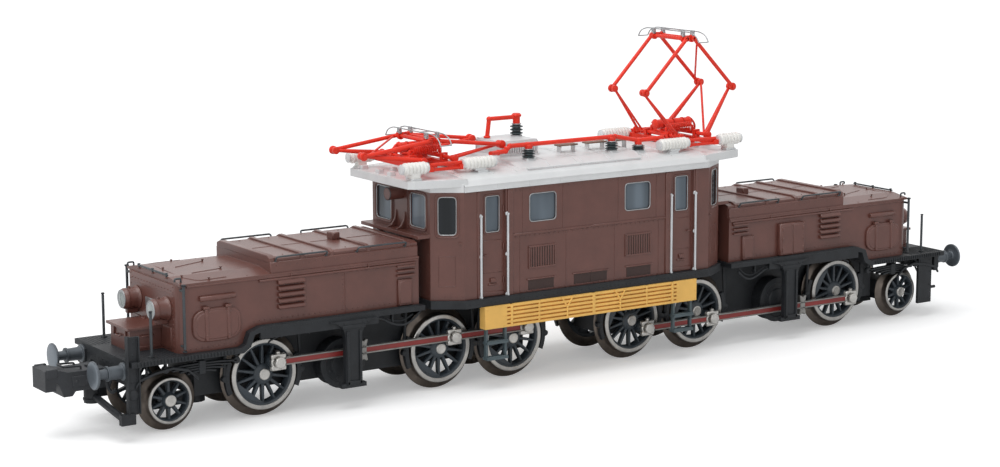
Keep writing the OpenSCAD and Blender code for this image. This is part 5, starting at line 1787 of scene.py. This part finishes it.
class LOCOMOTIVE_OT_hoods(PieceStep, bpy.types.Operator):
    """Adds the hoods' ribs, louvres, doors, rivets and headlamps"""

    bl_idname = "locomotive.hoods"
    bl_label = "Hoods"
    builders = (hoods,)


class LOCOMOTIVE_OT_trucks(PieceStep, bpy.types.Operator):
    """Adds the deck, column, brake, spring, buffer beam and rail guard details"""

    bl_idname = "locomotive.trucks"
    bl_label = "Trucks"
    builders = (trucks, guard_fittings)


class LOCOMOTIVE_OT_wheels(PieceStep, bpy.types.Operator):
    """Adds the spoked wheels on their axles"""

    bl_idname = "locomotive.wheels"
    bl_label = "Wheels"
    builders = (wheelsets,)


class LOCOMOTIVE_OT_rods(PieceStep, bpy.types.Operator):
    """Adds the fluted coupling rods"""

    bl_idname = "locomotive.rods"
    bl_label = "Coupling rods"
    builders = (coupling_rods,)


class LOCOMOTIVE_OT_buffers(PieceStep, bpy.types.Operator):
    """Adds the stepped buffers and the coupler's fittings"""

    bl_idname = "locomotive.buffers"
    bl_label = "Buffers and coupler"
    builders = (buffers, coupler_fittings)


class LOCOMOTIVE_OT_stage(bpy.types.Operator):
    """Adds the floor, the light and the camera"""

    bl_idname = "locomotive.stage"
    bl_label = "Stage"
    bl_options = {"REGISTER", "UNDO"}

    def execute(self, context):
        build_stage(context.scene.locomotive_stage)
        return {"FINISHED"}


OPERATORS = (LOCOMOTIVE_OT_finishes, LOCOMOTIVE_OT_cab, LOCOMOTIVE_OT_coolers, LOCOMOTIVE_OT_roof,
             LOCOMOTIVE_OT_pantographs, LOCOMOTIVE_OT_hoods, LOCOMOTIVE_OT_trucks,
             LOCOMOTIVE_OT_wheels, LOCOMOTIVE_OT_rods, LOCOMOTIVE_OT_buffers, LOCOMOTIVE_OT_stage)
SETTINGS = {"locomotive_colours": LocomotiveColours, "locomotive_sizes": LocomotiveSizes,
            "locomotive_stage": LocomotiveStage}


class LOCOMOTIVE_PT_panel(bpy.types.Panel):
    """Builds the locomotive's pieces in order"""

    bl_label = "Articulated Electric Locomotive"
    bl_space_type = "VIEW_3D"
    bl_region_type = "UI"
    bl_category = "Locomotive"

    def draw(self, context):
        layout = self.layout
        for operator in OPERATORS:
            layout.operator(operator.bl_idname)
        for name in SETTINGS:
            settings = getattr(context.scene, name)
            box = layout.box()
            for setting in settings.bl_rna.properties:
                if setting.identifier not in ("rna_type", "name"):
                    box.prop(settings, setting.identifier)


def register():
    for kind in (*SETTINGS.values(), *OPERATORS, LOCOMOTIVE_PT_panel):
        bpy.utils.register_class(kind)
    for name, kind in SETTINGS.items():
        setattr(bpy.types.Scene, name, PointerProperty(type=kind))


def unregister():
    for name in SETTINGS:
        delattr(bpy.types.Scene, name)
    for kind in reversed((*SETTINGS.values(), *OPERATORS, LOCOMOTIVE_PT_panel)):
        bpy.utils.unregister_class(kind)


def main():
    register()
    for operator in OPERATORS:
        group, name = operator.bl_idname.split(".")
        getattr(getattr(bpy.ops, group), name)()


if __name__ == "__main__":
    main()
